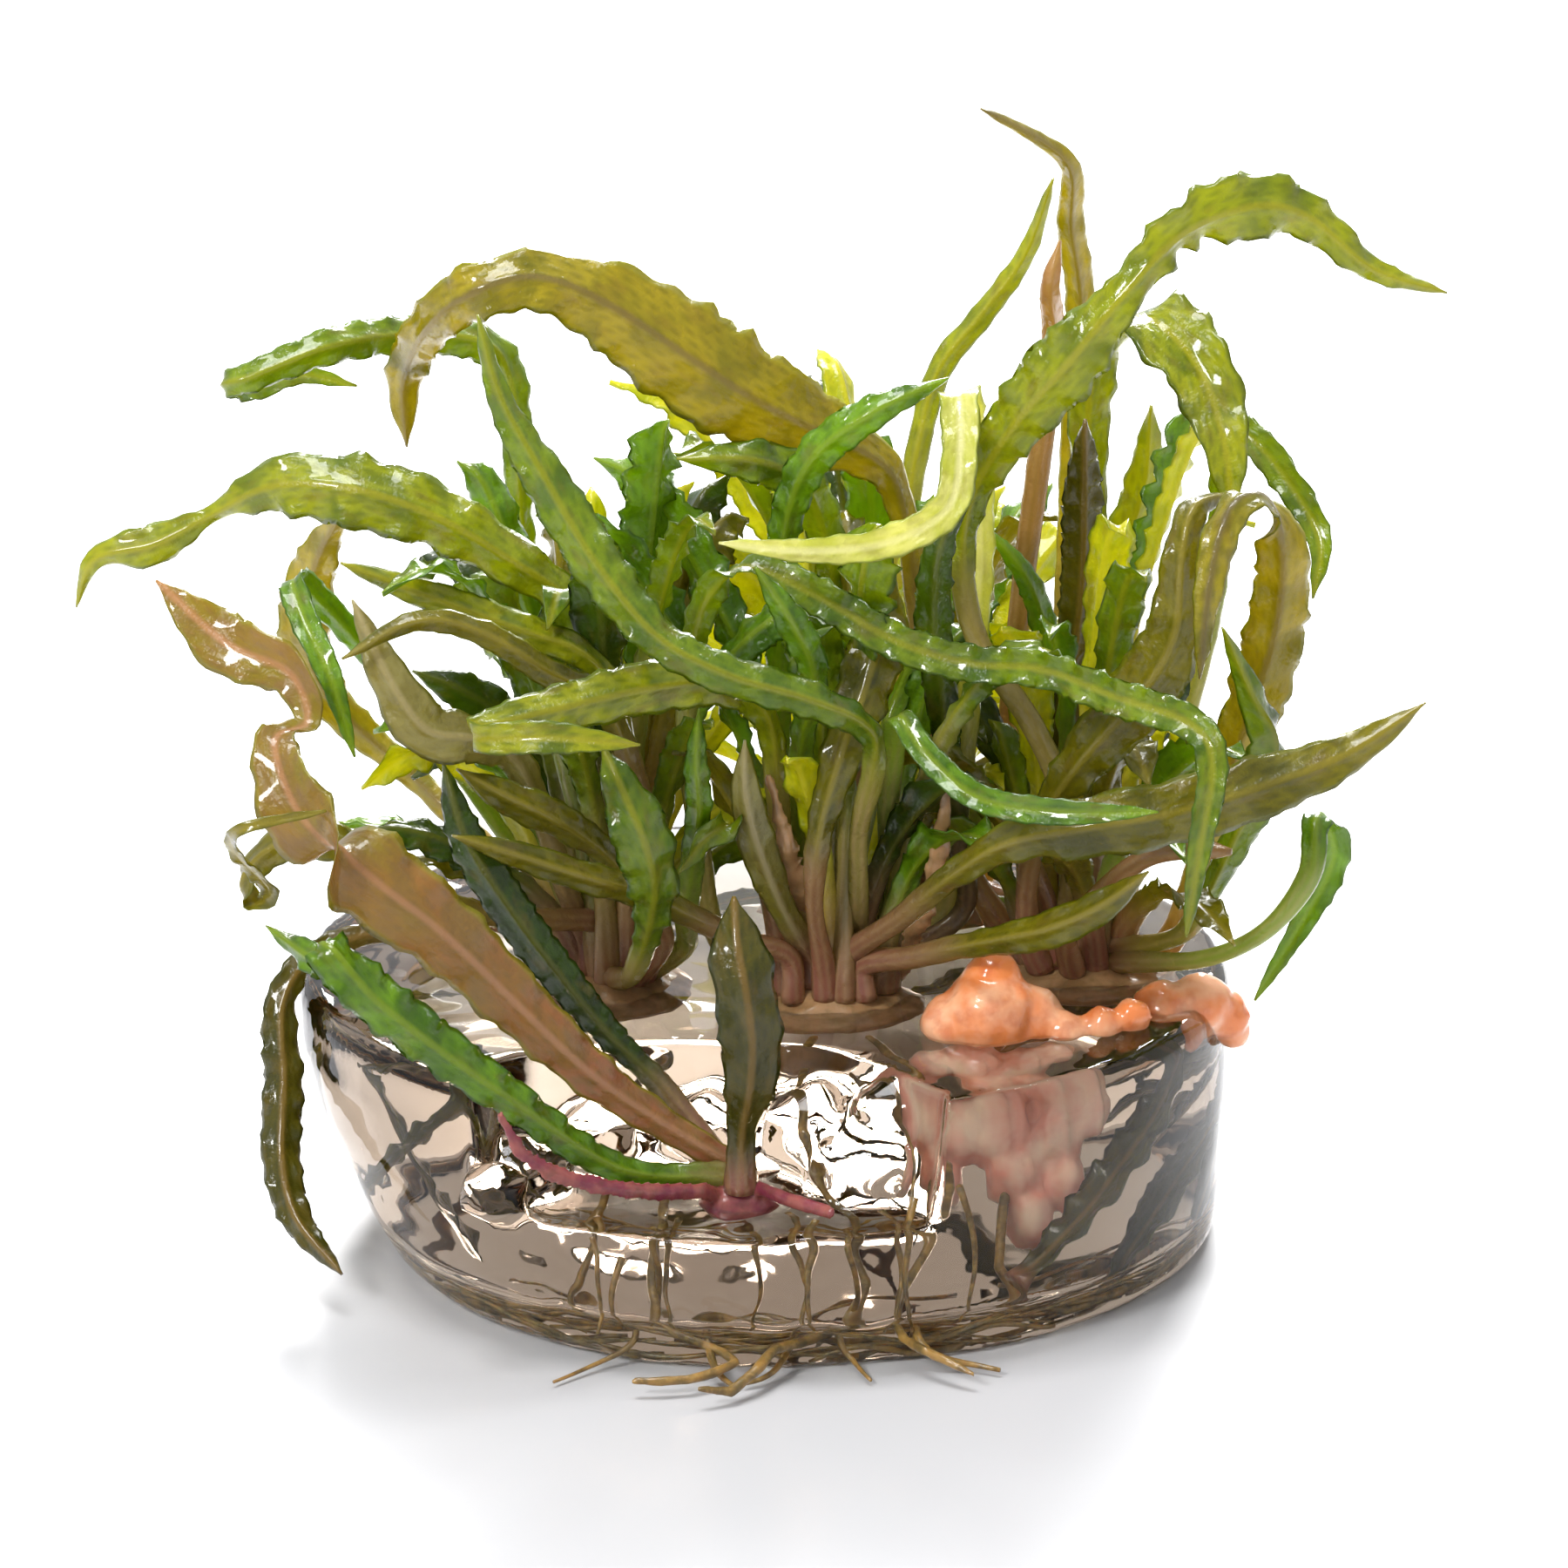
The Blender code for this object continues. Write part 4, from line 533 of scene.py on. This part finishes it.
def inner_course(chance, seed):
    """A leaf that rises from a crown, arches out and mostly shows its face to the front or the back."""
    name = chance.choice(["crown_middle", "crown_right", "crown_left", "crown_left", "crown_back", "crown_back"])
    low, high = (corner / MM for corner in (Vector(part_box(name)[0]), Vector(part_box(name)[1])))
    middle = (low + high) / 2
    turn = chance.uniform(0, 2 * math.pi)
    off = chance.uniform(0.1, 0.5)
    foot = np.array([middle.x + off * (high.x - low.x) / 2 * math.cos(turn),
                     middle.y + off * (high.y - low.y) / 2 * math.sin(turn), 18.6])
    lean = turn + chance.uniform(-0.7, 0.7)
    out = np.array([math.cos(lean), math.sin(lean), 0.0])
    rise = chance.choice((chance.uniform(9, 20), chance.uniform(18, 36)))
    away = chance.uniform(3, 16)
    droop = chance.uniform(-2, 0.35 * rise)
    wide = chance.uniform(2.2, 4.6)
    shape = np.array([(0.0, 0.0, 1.1), (0.3, 0.08, 1.1), (0.62, 0.3, 0.4 * wide + 0.5), (0.86, 0.6, wide),
                      (0.98, 0.85, 0.85 * wide), (1.0, 1.1, 0.5)])
    heights = rise * shape[:, 0] - 1.6 * droop * np.maximum(0, shape[:, 1] - 0.5)
    middles = foot + out * away * shape[:, 1:2] + np.array([0.0, 0.0, 1.0]) * heights[:, None]
    facing = chance.uniform(-0.9, 0.9)
    side = np.array([math.cos(facing), math.sin(facing), 0.0])
    return even_course(middles, np.tile(side, (len(shape), 1)), shape[:, 2], seed)


def grow_inner_leaves(finishes, taken):
    """Fills the clump with small leaves, each in the freest of the places tried for it."""
    chance = random.Random(11)
    points = [tuple(point) for point in taken]
    # The first finish paints the glow of inner leaves lit from behind into their colour
    for finish, share in (("painted glow yellow", 0.3), ("vivid green", 0.22), ("fresh green", 0.22), ("olive", 0.16),
                          ("dark green", 0.1)):
        blades = []
        for number in range(round(INNER_LEAVES * share)):
            tree = kdtree.KDTree(len(points))
            for index, point in enumerate(points):
                tree.insert(point, index)
            tree.balance()
            best, best_room = None, -1
            for _ in range(14):
                course = inner_course(chance, number)
                upper = course[0][len(course[0]) // 4:]
                room = np.percentile([tree.find(point)[2] for point in upper[::4]], 15)
                fits = abs(upper[:, 0] - 2).max() < 31 and -21 < upper[:, 1].min() and upper[:, 1].max() < 29
                if fits and room > best_room:
                    best, best_room = course, room
            points += [tuple(point) for point in best[0][::3]]
            blades.append(blade_of(best, chance.uniform(0.35, 0.75), chance.uniform(2.0, 3.4),
                                   chance.uniform(10, 24), chance.uniform(-0.25, 0.3), number * 3))
        leaf_piece(f"inner_leaves_{finish.replace(' ', '_')}", blades, finishes[finish])


def mesh_piece(name, points, faces, material, triangles=False):
    """A smooth mesh object from points in mm, which moves with the clump."""
    mesh = bpy.data.meshes.new(name)
    mesh.from_pydata((np.asarray(points) * MM).tolist(), [], faces)
    build = bmesh.new()
    build.from_mesh(mesh)
    if triangles:
        bmesh.ops.triangulate(build, faces=build.faces)
    bmesh.ops.recalc_face_normals(build, faces=build.faces)
    build.to_mesh(mesh)
    build.free()
    mesh.shade_smooth()
    piece = bpy.data.objects.new(name, mesh)
    bpy.context.scene.collection.objects.link(piece)
    mesh.materials.append(material)
    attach(piece, "root")
    return piece


def applied(piece):
    """Makes the piece's modifiers part of its mesh."""
    graph = bpy.context.evaluated_depsgraph_get()
    mesh = bpy.data.meshes.new_from_object(piece.evaluated_get(graph))
    piece.modifiers.clear()
    piece.data = mesh
    return piece


def remeshed(piece, voxel_mm, rounds):
    """Rebuilds the piece as one fine even skin, and softens it."""
    change = piece.modifiers.new("skin", "REMESH")
    change.mode = "VOXEL"
    change.voxel_size = voxel_mm * MM
    soften = piece.modifiers.new("soften", "SMOOTH")
    soften.iterations = rounds
    soften.factor = 0.5
    applied(piece)
    piece.data.shade_smooth()
    return piece


def swell_skin(mesh, push):
    """Moves each point of the skin in or out by what push gives for its place, both in mm."""
    places = [vertex.co / MM for vertex in mesh.vertices]
    outward = [normal.vector.copy() for normal in mesh.vertex_normals]
    moved = [(here + way * push(here)) * MM for here, way in zip(places, outward)]
    mesh.vertices.foreach_set("co", np.array(moved, np.float32).reshape(-1))
    mesh.update()


def flesh_over(node, material, voxel_mm, bump_mm, grain_mm, rounds=4):
    """Living tissue over a crown's, callus's or root's solid: its facets softened and its skin uneven."""
    points, triangles = welded(node)
    piece = mesh_piece(node.name + "_skin", points, triangles, material)
    remeshed(piece, voxel_mm, rounds)
    swell_skin(piece.data, lambda here: bump_mm * (noise.noise(here / grain_mm)
                                                   + 0.5 * noise.noise(here / (grain_mm * 0.4))))
    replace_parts(piece, node.name)
    return piece


def gel_radius(angle, height):
    """Radius of the gel's outside: its left tapers in downwards, and it is a little uneven."""
    leftness = max(0.0, -math.cos(angle)) ** 2
    frontness = max(0.0, -math.sin(angle)) ** 3
    low = max(0.0, 1 - height / 14.0)
    radius = GEL_RADIUS - leftness * 5.2 * low ** 1.4 - 0.9 * low ** 3
    if height < LEDGE_TOP:
        radius -= frontness * LEDGE_DEPTH
    return radius + 0.25 * noise.noise(Vector((math.cos(angle), math.sin(angle), height / 20)) * 2.2)


def turned_rings(heights, insets, sides):
    """Points and faces of the puck before the tear, closed at the top and bottom."""
    points, faces = [], []
    for height, inset in zip(heights, insets):
        for side in range(sides):
            angle = 2 * math.pi * side / sides
            radius = gel_radius(angle, height) - inset
            points.append((radius * math.cos(angle), radius * math.sin(angle), height))
    for ring in range(len(heights) - 1):
        for side in range(sides):
            a, b = ring * sides + side, ring * sides + (side + 1) % sides
            faces.append((a, b, b + sides, a + sides))
    faces.append(tuple(range(sides)))
    faces.append(tuple(range(len(points) - sides, len(points))))
    return points, faces


def torn_block(material):
    """What is missing from the front of the gel."""
    points = []
    for height, wider in TEAR_LEVELS:
        points += [(x + 0.8 * math.copysign(wider, x + 4), y + wider, height) for x, y in TEAR_OUTLINE]
    count = len(TEAR_OUTLINE)
    faces = [tuple(range(count)), tuple(range(len(points) - count, len(points)))]
    for level in range(len(TEAR_LEVELS) - 1):
        for side in range(count):
            a, b = level * count + side, level * count + (side + 1) % count
            faces.append((a, b, b + count, a + count))
    return mesh_piece("torn_block", points, faces, material, triangles=True)


def balls_of(places, stretch=(1.0, 1.0, 1.0), rounds=3):
    """Points and faces of balls that overlap, to be made one skin. With one round they are angular."""
    points, faces = [], []
    for middle, radius in places:
        build = bmesh.new()
        bmesh.ops.create_icosphere(build, subdivisions=rounds, radius=1.0)
        first = len(points)
        points += [[m + v * s * radius for m, v, s in zip(middle, vertex.co, stretch)] for vertex in build.verts]
        faces += [tuple(vertex.index + first for vertex in face.verts) for face in build.faces]
        build.free()
    return points, faces


def dent_of_gel(here):
    """How far the gel's wet skin swells or dents, most where it is torn."""
    torn = max(0.0, min(1.0, (-here.y - 15) / 6)) * max(0.0, min(1.0, (14 - abs(here.x + 4)) / 5))
    broad = 0.16 * noise.noise(here / 5.5)
    broken = torn * (0.6 * noise.noise(here / 4.2) + 0.12 * noise.noise(here / 1.6))
    return (broad + broken) * min(1.0, here.z / 0.8)


def cast_gel(material):
    """The gel as one clear piece, torn at the front and dented all over its wet skin."""
    heights = [0.0, 0.6, 2.0, LEDGE_TOP - 0.2, LEDGE_TOP + 0.3, 7.0, 10.0, 14.0, GEL_HEIGHT - 0.9, GEL_HEIGHT]
    insets = [0.5] + [0.0] * 8 + [0.7]
    points, faces = turned_rings(heights, insets, 128)
    gel = mesh_piece("gel_puck_clear", points, faces, material, triangles=True)
    block = torn_block(material)
    cut = gel.modifiers.new("tear", "BOOLEAN")
    cut.object = block
    applied(gel)
    bpy.data.objects.remove(block)
    shards = mesh_piece("shards", *balls_of(SHARDS, (1.15, 0.85, 1.0), 1), material)
    whole = bmesh.new()
    whole.from_mesh(gel.data)
    whole.from_mesh(shards.data)
    whole.to_mesh(gel.data)
    whole.free()
    bpy.data.objects.remove(shards)
    remeshed(gel, 0.4, 6)
    swell_skin(gel.data, dent_of_gel)
    for vertex in gel.data.vertices:
        if vertex.co.z < 0.06 * MM:
            vertex.co.z = 0.0
    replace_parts(gel, "gel_puck")
    return gel


def rod(course, radii, sides=7):
    """Points and faces of a thin round root along its course, in mm."""
    course = np.array(course)
    along = unit(np.gradient(course, axis=0))
    upright = np.array([0.0, 0.0, 1.0]) if abs(along[:, 2]).mean() < 0.7 else np.array([0.0, 1.0, 0.0])
    side = unit(np.cross(along, upright))
    other = np.cross(along, side)
    angles = np.arange(sides) * 2 * math.pi / sides
    rings = (course[:, None] + np.asarray(radii)[:, None, None]
             * (np.cos(angles)[None, :, None] * side[:, None] + np.sin(angles)[None, :, None] * other[:, None]))
    count = len(course)
    faces = [(row * sides + k, row * sides + (k + 1) % sides, (row + 1) * sides + (k + 1) % sides, (row + 1) * sides + k)
             for row in range(count - 1) for k in range(sides)]
    faces += [tuple(range(sides))[::-1], tuple(range((count - 1) * sides, count * sides))]
    return rings.reshape(-1, 3), faces


def round_root(chance):
    """The course of a fine root that runs round inside the lowest layer of the gel, mostly at the front."""
    start = -math.pi / 2 + chance.gauss(0, 0.75)
    turn = chance.choice((-1, 1)) * chance.uniform(0.35, 1.1)
    radius, height = chance.uniform(20, 28), chance.uniform(0.7, 2.7)
    phase = chance.uniform(0, 6)
    course = []
    for share in np.linspace(0, 1, 26):
        angle = start + turn * share
        away = min(gel_radius(angle, 1.5) - 1.0, radius + 4 * share + 0.7 * math.sin(phase + 5 * share))
        course.append((away * math.cos(angle), away * math.sin(angle),
                       max(0.5, height + 0.5 * math.sin(phase + 7 * share))))
    return course


def lay_fine_roots(material):
    """The fine roots as one mesh: round the gel's foot, down through its front, and out on the table."""
    chance = random.Random(5)
    courses = [(round_root(chance), chance.uniform(0.13, 0.3)) for _ in range(FINE_ROOTS)]
    for x, bend, top in ((-10.6, 0.6, 8.2), (-8.6, -0.8, 7.4), (-7.0, 0.7, 8.8), (-5.4, -0.5, 8.2), (-0.6, 0.5, 8.0),
                         (1.6, 0.9, 8.6), (3.4, -0.8, 9.0), (5.2, 0.5, 8.4), (7.4, 1.2, 9.2), (9.6, -0.7, 11.0),
                         (12.2, 0.9, 12.0)):
        course = [(x + bend * math.sin(3 * share), -26.4 + 1.6 * math.sin(2.4 * share + x), top + (2.2 - top) * share)
                  for share in np.linspace(0, 1, 16)]
        courses.append((course, 0.26))
    for x, way, long, thick in ((-8.0, -5.2, 4.6, 0.24), (-3.6, 1.8, 6.4, 0.34), (2.0, -3.2, 5.6, 0.3),
                                (4.8, 2.0, 4.2, 0.26), (9.6, 5.4, 3.6, 0.34)):
        course = [(x + way * share ** 1.6, -26.5 - long * share + 0.7 * math.sin(5 * share + x),
                   thick + 0.06 + 1.9 * (1 - share) ** 2) for share in np.linspace(0, 1, 16)]
        courses.append((course, thick))
    points, faces = [], []
    for course, thick in courses:
        radii = thick * np.linspace(1, 0.45, len(course))
        more_points, more_faces = rod(course, radii)
        faces += [tuple(v + len(points) for v in face) for face in more_faces]
        points += more_points.tolist()
    return mesh_piece("fine_roots", points, faces, material)


# Old dark leaves that lie in the gel, as (x, y, z, wide)
LEAVES_IN_GEL = [
    [(27, -8, 3, 2), (28, -2, 8, 5), (26.5, 4, 12, 5), (24, 8, 14.5, 1)],
    [(22, -17, 3, 2), (25.5, -10, 7, 5.5), (28, -2, 10, 4), (26, 6, 13.5, 1)],
    [(15.5, -22, 4, 1.2), (20, -18, 8, 4), (23.5, -12, 12, 4), (24.5, -7, 15, 1)],
    [(10, 7, 4, 2), (18, 9, 8, 6), (24, 5, 12.5, 5), (26, 1, 14.5, 1)],
    [(14, -6, 4, 2), (19, -2, 7, 6), (25, -3, 11, 5), (28, -6, 13, 1)],
    [(-12, 17, 4, 2), (-3, 21, 9, 4), (6, 20, 14, 1)],
    [(6, 22, 3, 2), (14, 18, 9, 4.2), (18, 12, 15, 1)],
    [(-25, -4, 3, 1.6), (-23, -11, 8, 3), (-19.5, -16, 13, 2.6), (-17, -18, 15.5, 1)],
    [(-21, 8, 3, 2), (-25, 1, 9, 3.4), (-26, -5, 14, 1)],
    [(-15, -8, 3, 2), (-19, -10, 8, 3.4), (-22, -9, 13, 2.4), (-24, -6, 15.5, 1)],
]
# Pale and crimson tissue that hangs in the gel under the middle callus: middles and radii
TISSUE_IN_GEL = [((13.4, -15.2, 12.6), 2.2), ((14.6, -15.6, 9.6), 2.0), ((15.6, -16.2, 6.6), 1.5),
                 ((17.0, -14.6, 11.8), 1.9), ((17.6, -15.4, 8.6), 1.4), ((11.0, -15.4, 12.2), 1.7),
                 ((10.2, -16.6, 9.4), 1.3), ((19.0, -14.0, 13.0), 1.4)]


def set_studio():
    """A pale table and soft light from all round, with the strongest from behind and above."""
    material, tree, output = new_material("white laminate table, matt")
    grain = add(tree, "ShaderNodeTexNoise", {"Vector": add(tree, "ShaderNodeTexCoord").outputs["Object"],
                                             "Scale": 900.0})
    bump = add(tree, "ShaderNodeBump", {"Strength": 0.02, "Distance": 0.0002, "Height": grain.outputs["Fac"]})
    top = add(tree, "ShaderNodeBsdfPrincipled", {"Base Color": linear("BABABC"), "Roughness": 0.4,
                                                 "IOR": 1.45, "Normal": bump.outputs[0]})
    tree.links.new(top.outputs[0], output.inputs["Surface"])
    mesh = bpy.data.meshes.new("table")
    reach = 3.0
    mesh.from_pydata([(-reach, -reach, 0), (reach, -reach, 0), (reach, reach, 0), (-reach, reach, 0)], [],
                     [(0, 1, 2, 3)])
    table = bpy.data.objects.new("table", mesh)
    table.location.z = -0.0001
    bpy.context.scene.collection.objects.link(table)
    mesh.materials.append(material)

    world = bpy.data.worlds.new("white studio")
    world.use_nodes = True
    sky = world.node_tree
    way = add(sky, "ShaderNodeSeparateXYZ", {0: add(sky, "ShaderNodeTexCoord").outputs["Generated"]})
    power = add(sky, "ShaderNodeMapRange", {"Value": way.outputs[1], "From Min": -0.9, "From Max": 0.6,
                                            "To Min": 0.58, "To Max": 0.95})
    sky.nodes["Background"].inputs["Color"].default_value = linear("F7F9FC")
    sky.links.new(power.outputs[0], sky.nodes["Background"].inputs["Strength"])
    bpy.context.scene.world = world
    bpy.context.scene.view_settings.view_transform = "Standard"

    for name, place, size, power in (("back lamp", (0.05, 0.42, 0.35), 0.3, 9.0),
                                     ("top lamp", (-0.1, -0.05, 0.6), 0.22, 3.0),
                                     ("front lamp", (-0.35, -0.5, 0.45), 0.14, 3.6)):
        lamp = bpy.data.objects.new(name, bpy.data.lights.new(name, "AREA"))
        lamp.data.size = size
        lamp.data.energy = power
        lamp.location = place
        lamp.rotation_euler = (AIM - lamp.location).to_track_quat("-Z", "Y").to_euler()
        bpy.context.scene.collection.objects.link(lamp)


def build():
    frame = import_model()
    nodes = frame["nodes"]
    place_camera()
    set_studio()
    finishes = {name: wet_leaf(f"{name} leaf, wet", *colours) for name, colours in FINISHES.items()}
    taken = []
    for seed, (name, (finish, *habit)) in enumerate(LEAVES.items()):
        course = course_of_solid(nodes[name], seed)
        taken += course[0][::3].tolist()
        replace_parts(leaf_piece(name + "_blade", [blade_of(course, *habit, seed)], finishes[finish]), name)
    grow_inner_leaves(finishes, taken)
    old = [blade_of(course_of_route(route, seed), 0.4, 3.0, 8, 0.0, seed) for seed, route in enumerate(LEAVES_IN_GEL)]
    leaf_piece("old_leaves_in_gel", old, finishes["dark olive"])
    crown = moist_tissue("crown tissue, moist", "8A6A45", "A8825A", "6E5A30", 1.6)
    crimson = moist_tissue("crimson crown tissue, moist", "702838", "8A4A44", "54381F", 1.4)
    for name in ("crown_middle", "crown_right", "crown_left", "crown_back"):
        flesh_over(nodes[name], crown, 0.3, 0.2, 1.6)
    flesh_over(nodes["crown_front"], crimson, 0.2, 0.06, 1.4)
    callus = moist_tissue("callus, soft and wet", "E0834A", "ECB088", "B8502E", 3.0, roughness=0.16)
    for name in ("callus_middle", "callus_right"):
        flesh_over(nodes[name], callus, 0.28, 0.18, 2.2, rounds=6)
    pale = moist_tissue("pale and crimson tissue", "ECD2BA", "DC9C88", "B04A50", 4.0, spotted=0.15)
    hanging = mesh_piece("tissue_in_gel", *balls_of(TISSUE_IN_GEL, (0.9, 0.9, 1.35)), pale)
    remeshed(hanging, 0.3, 3)
    swell_skin(hanging.data, lambda here: 0.5 * noise.noise(Vector((here.x / 0.8, here.y / 0.8, here.z / 4))))
    root = moist_tissue("root, smooth and damp", "8E6E36", "62502A", "B09050", 1.2)
    for name in nodes:
        if name.startswith("root"):
            flesh_over(nodes[name], root, 0.16, 0.05, 1.2, rounds=3)
    lay_fine_roots(root)
    cast_gel(clear_gel())
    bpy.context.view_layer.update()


build()
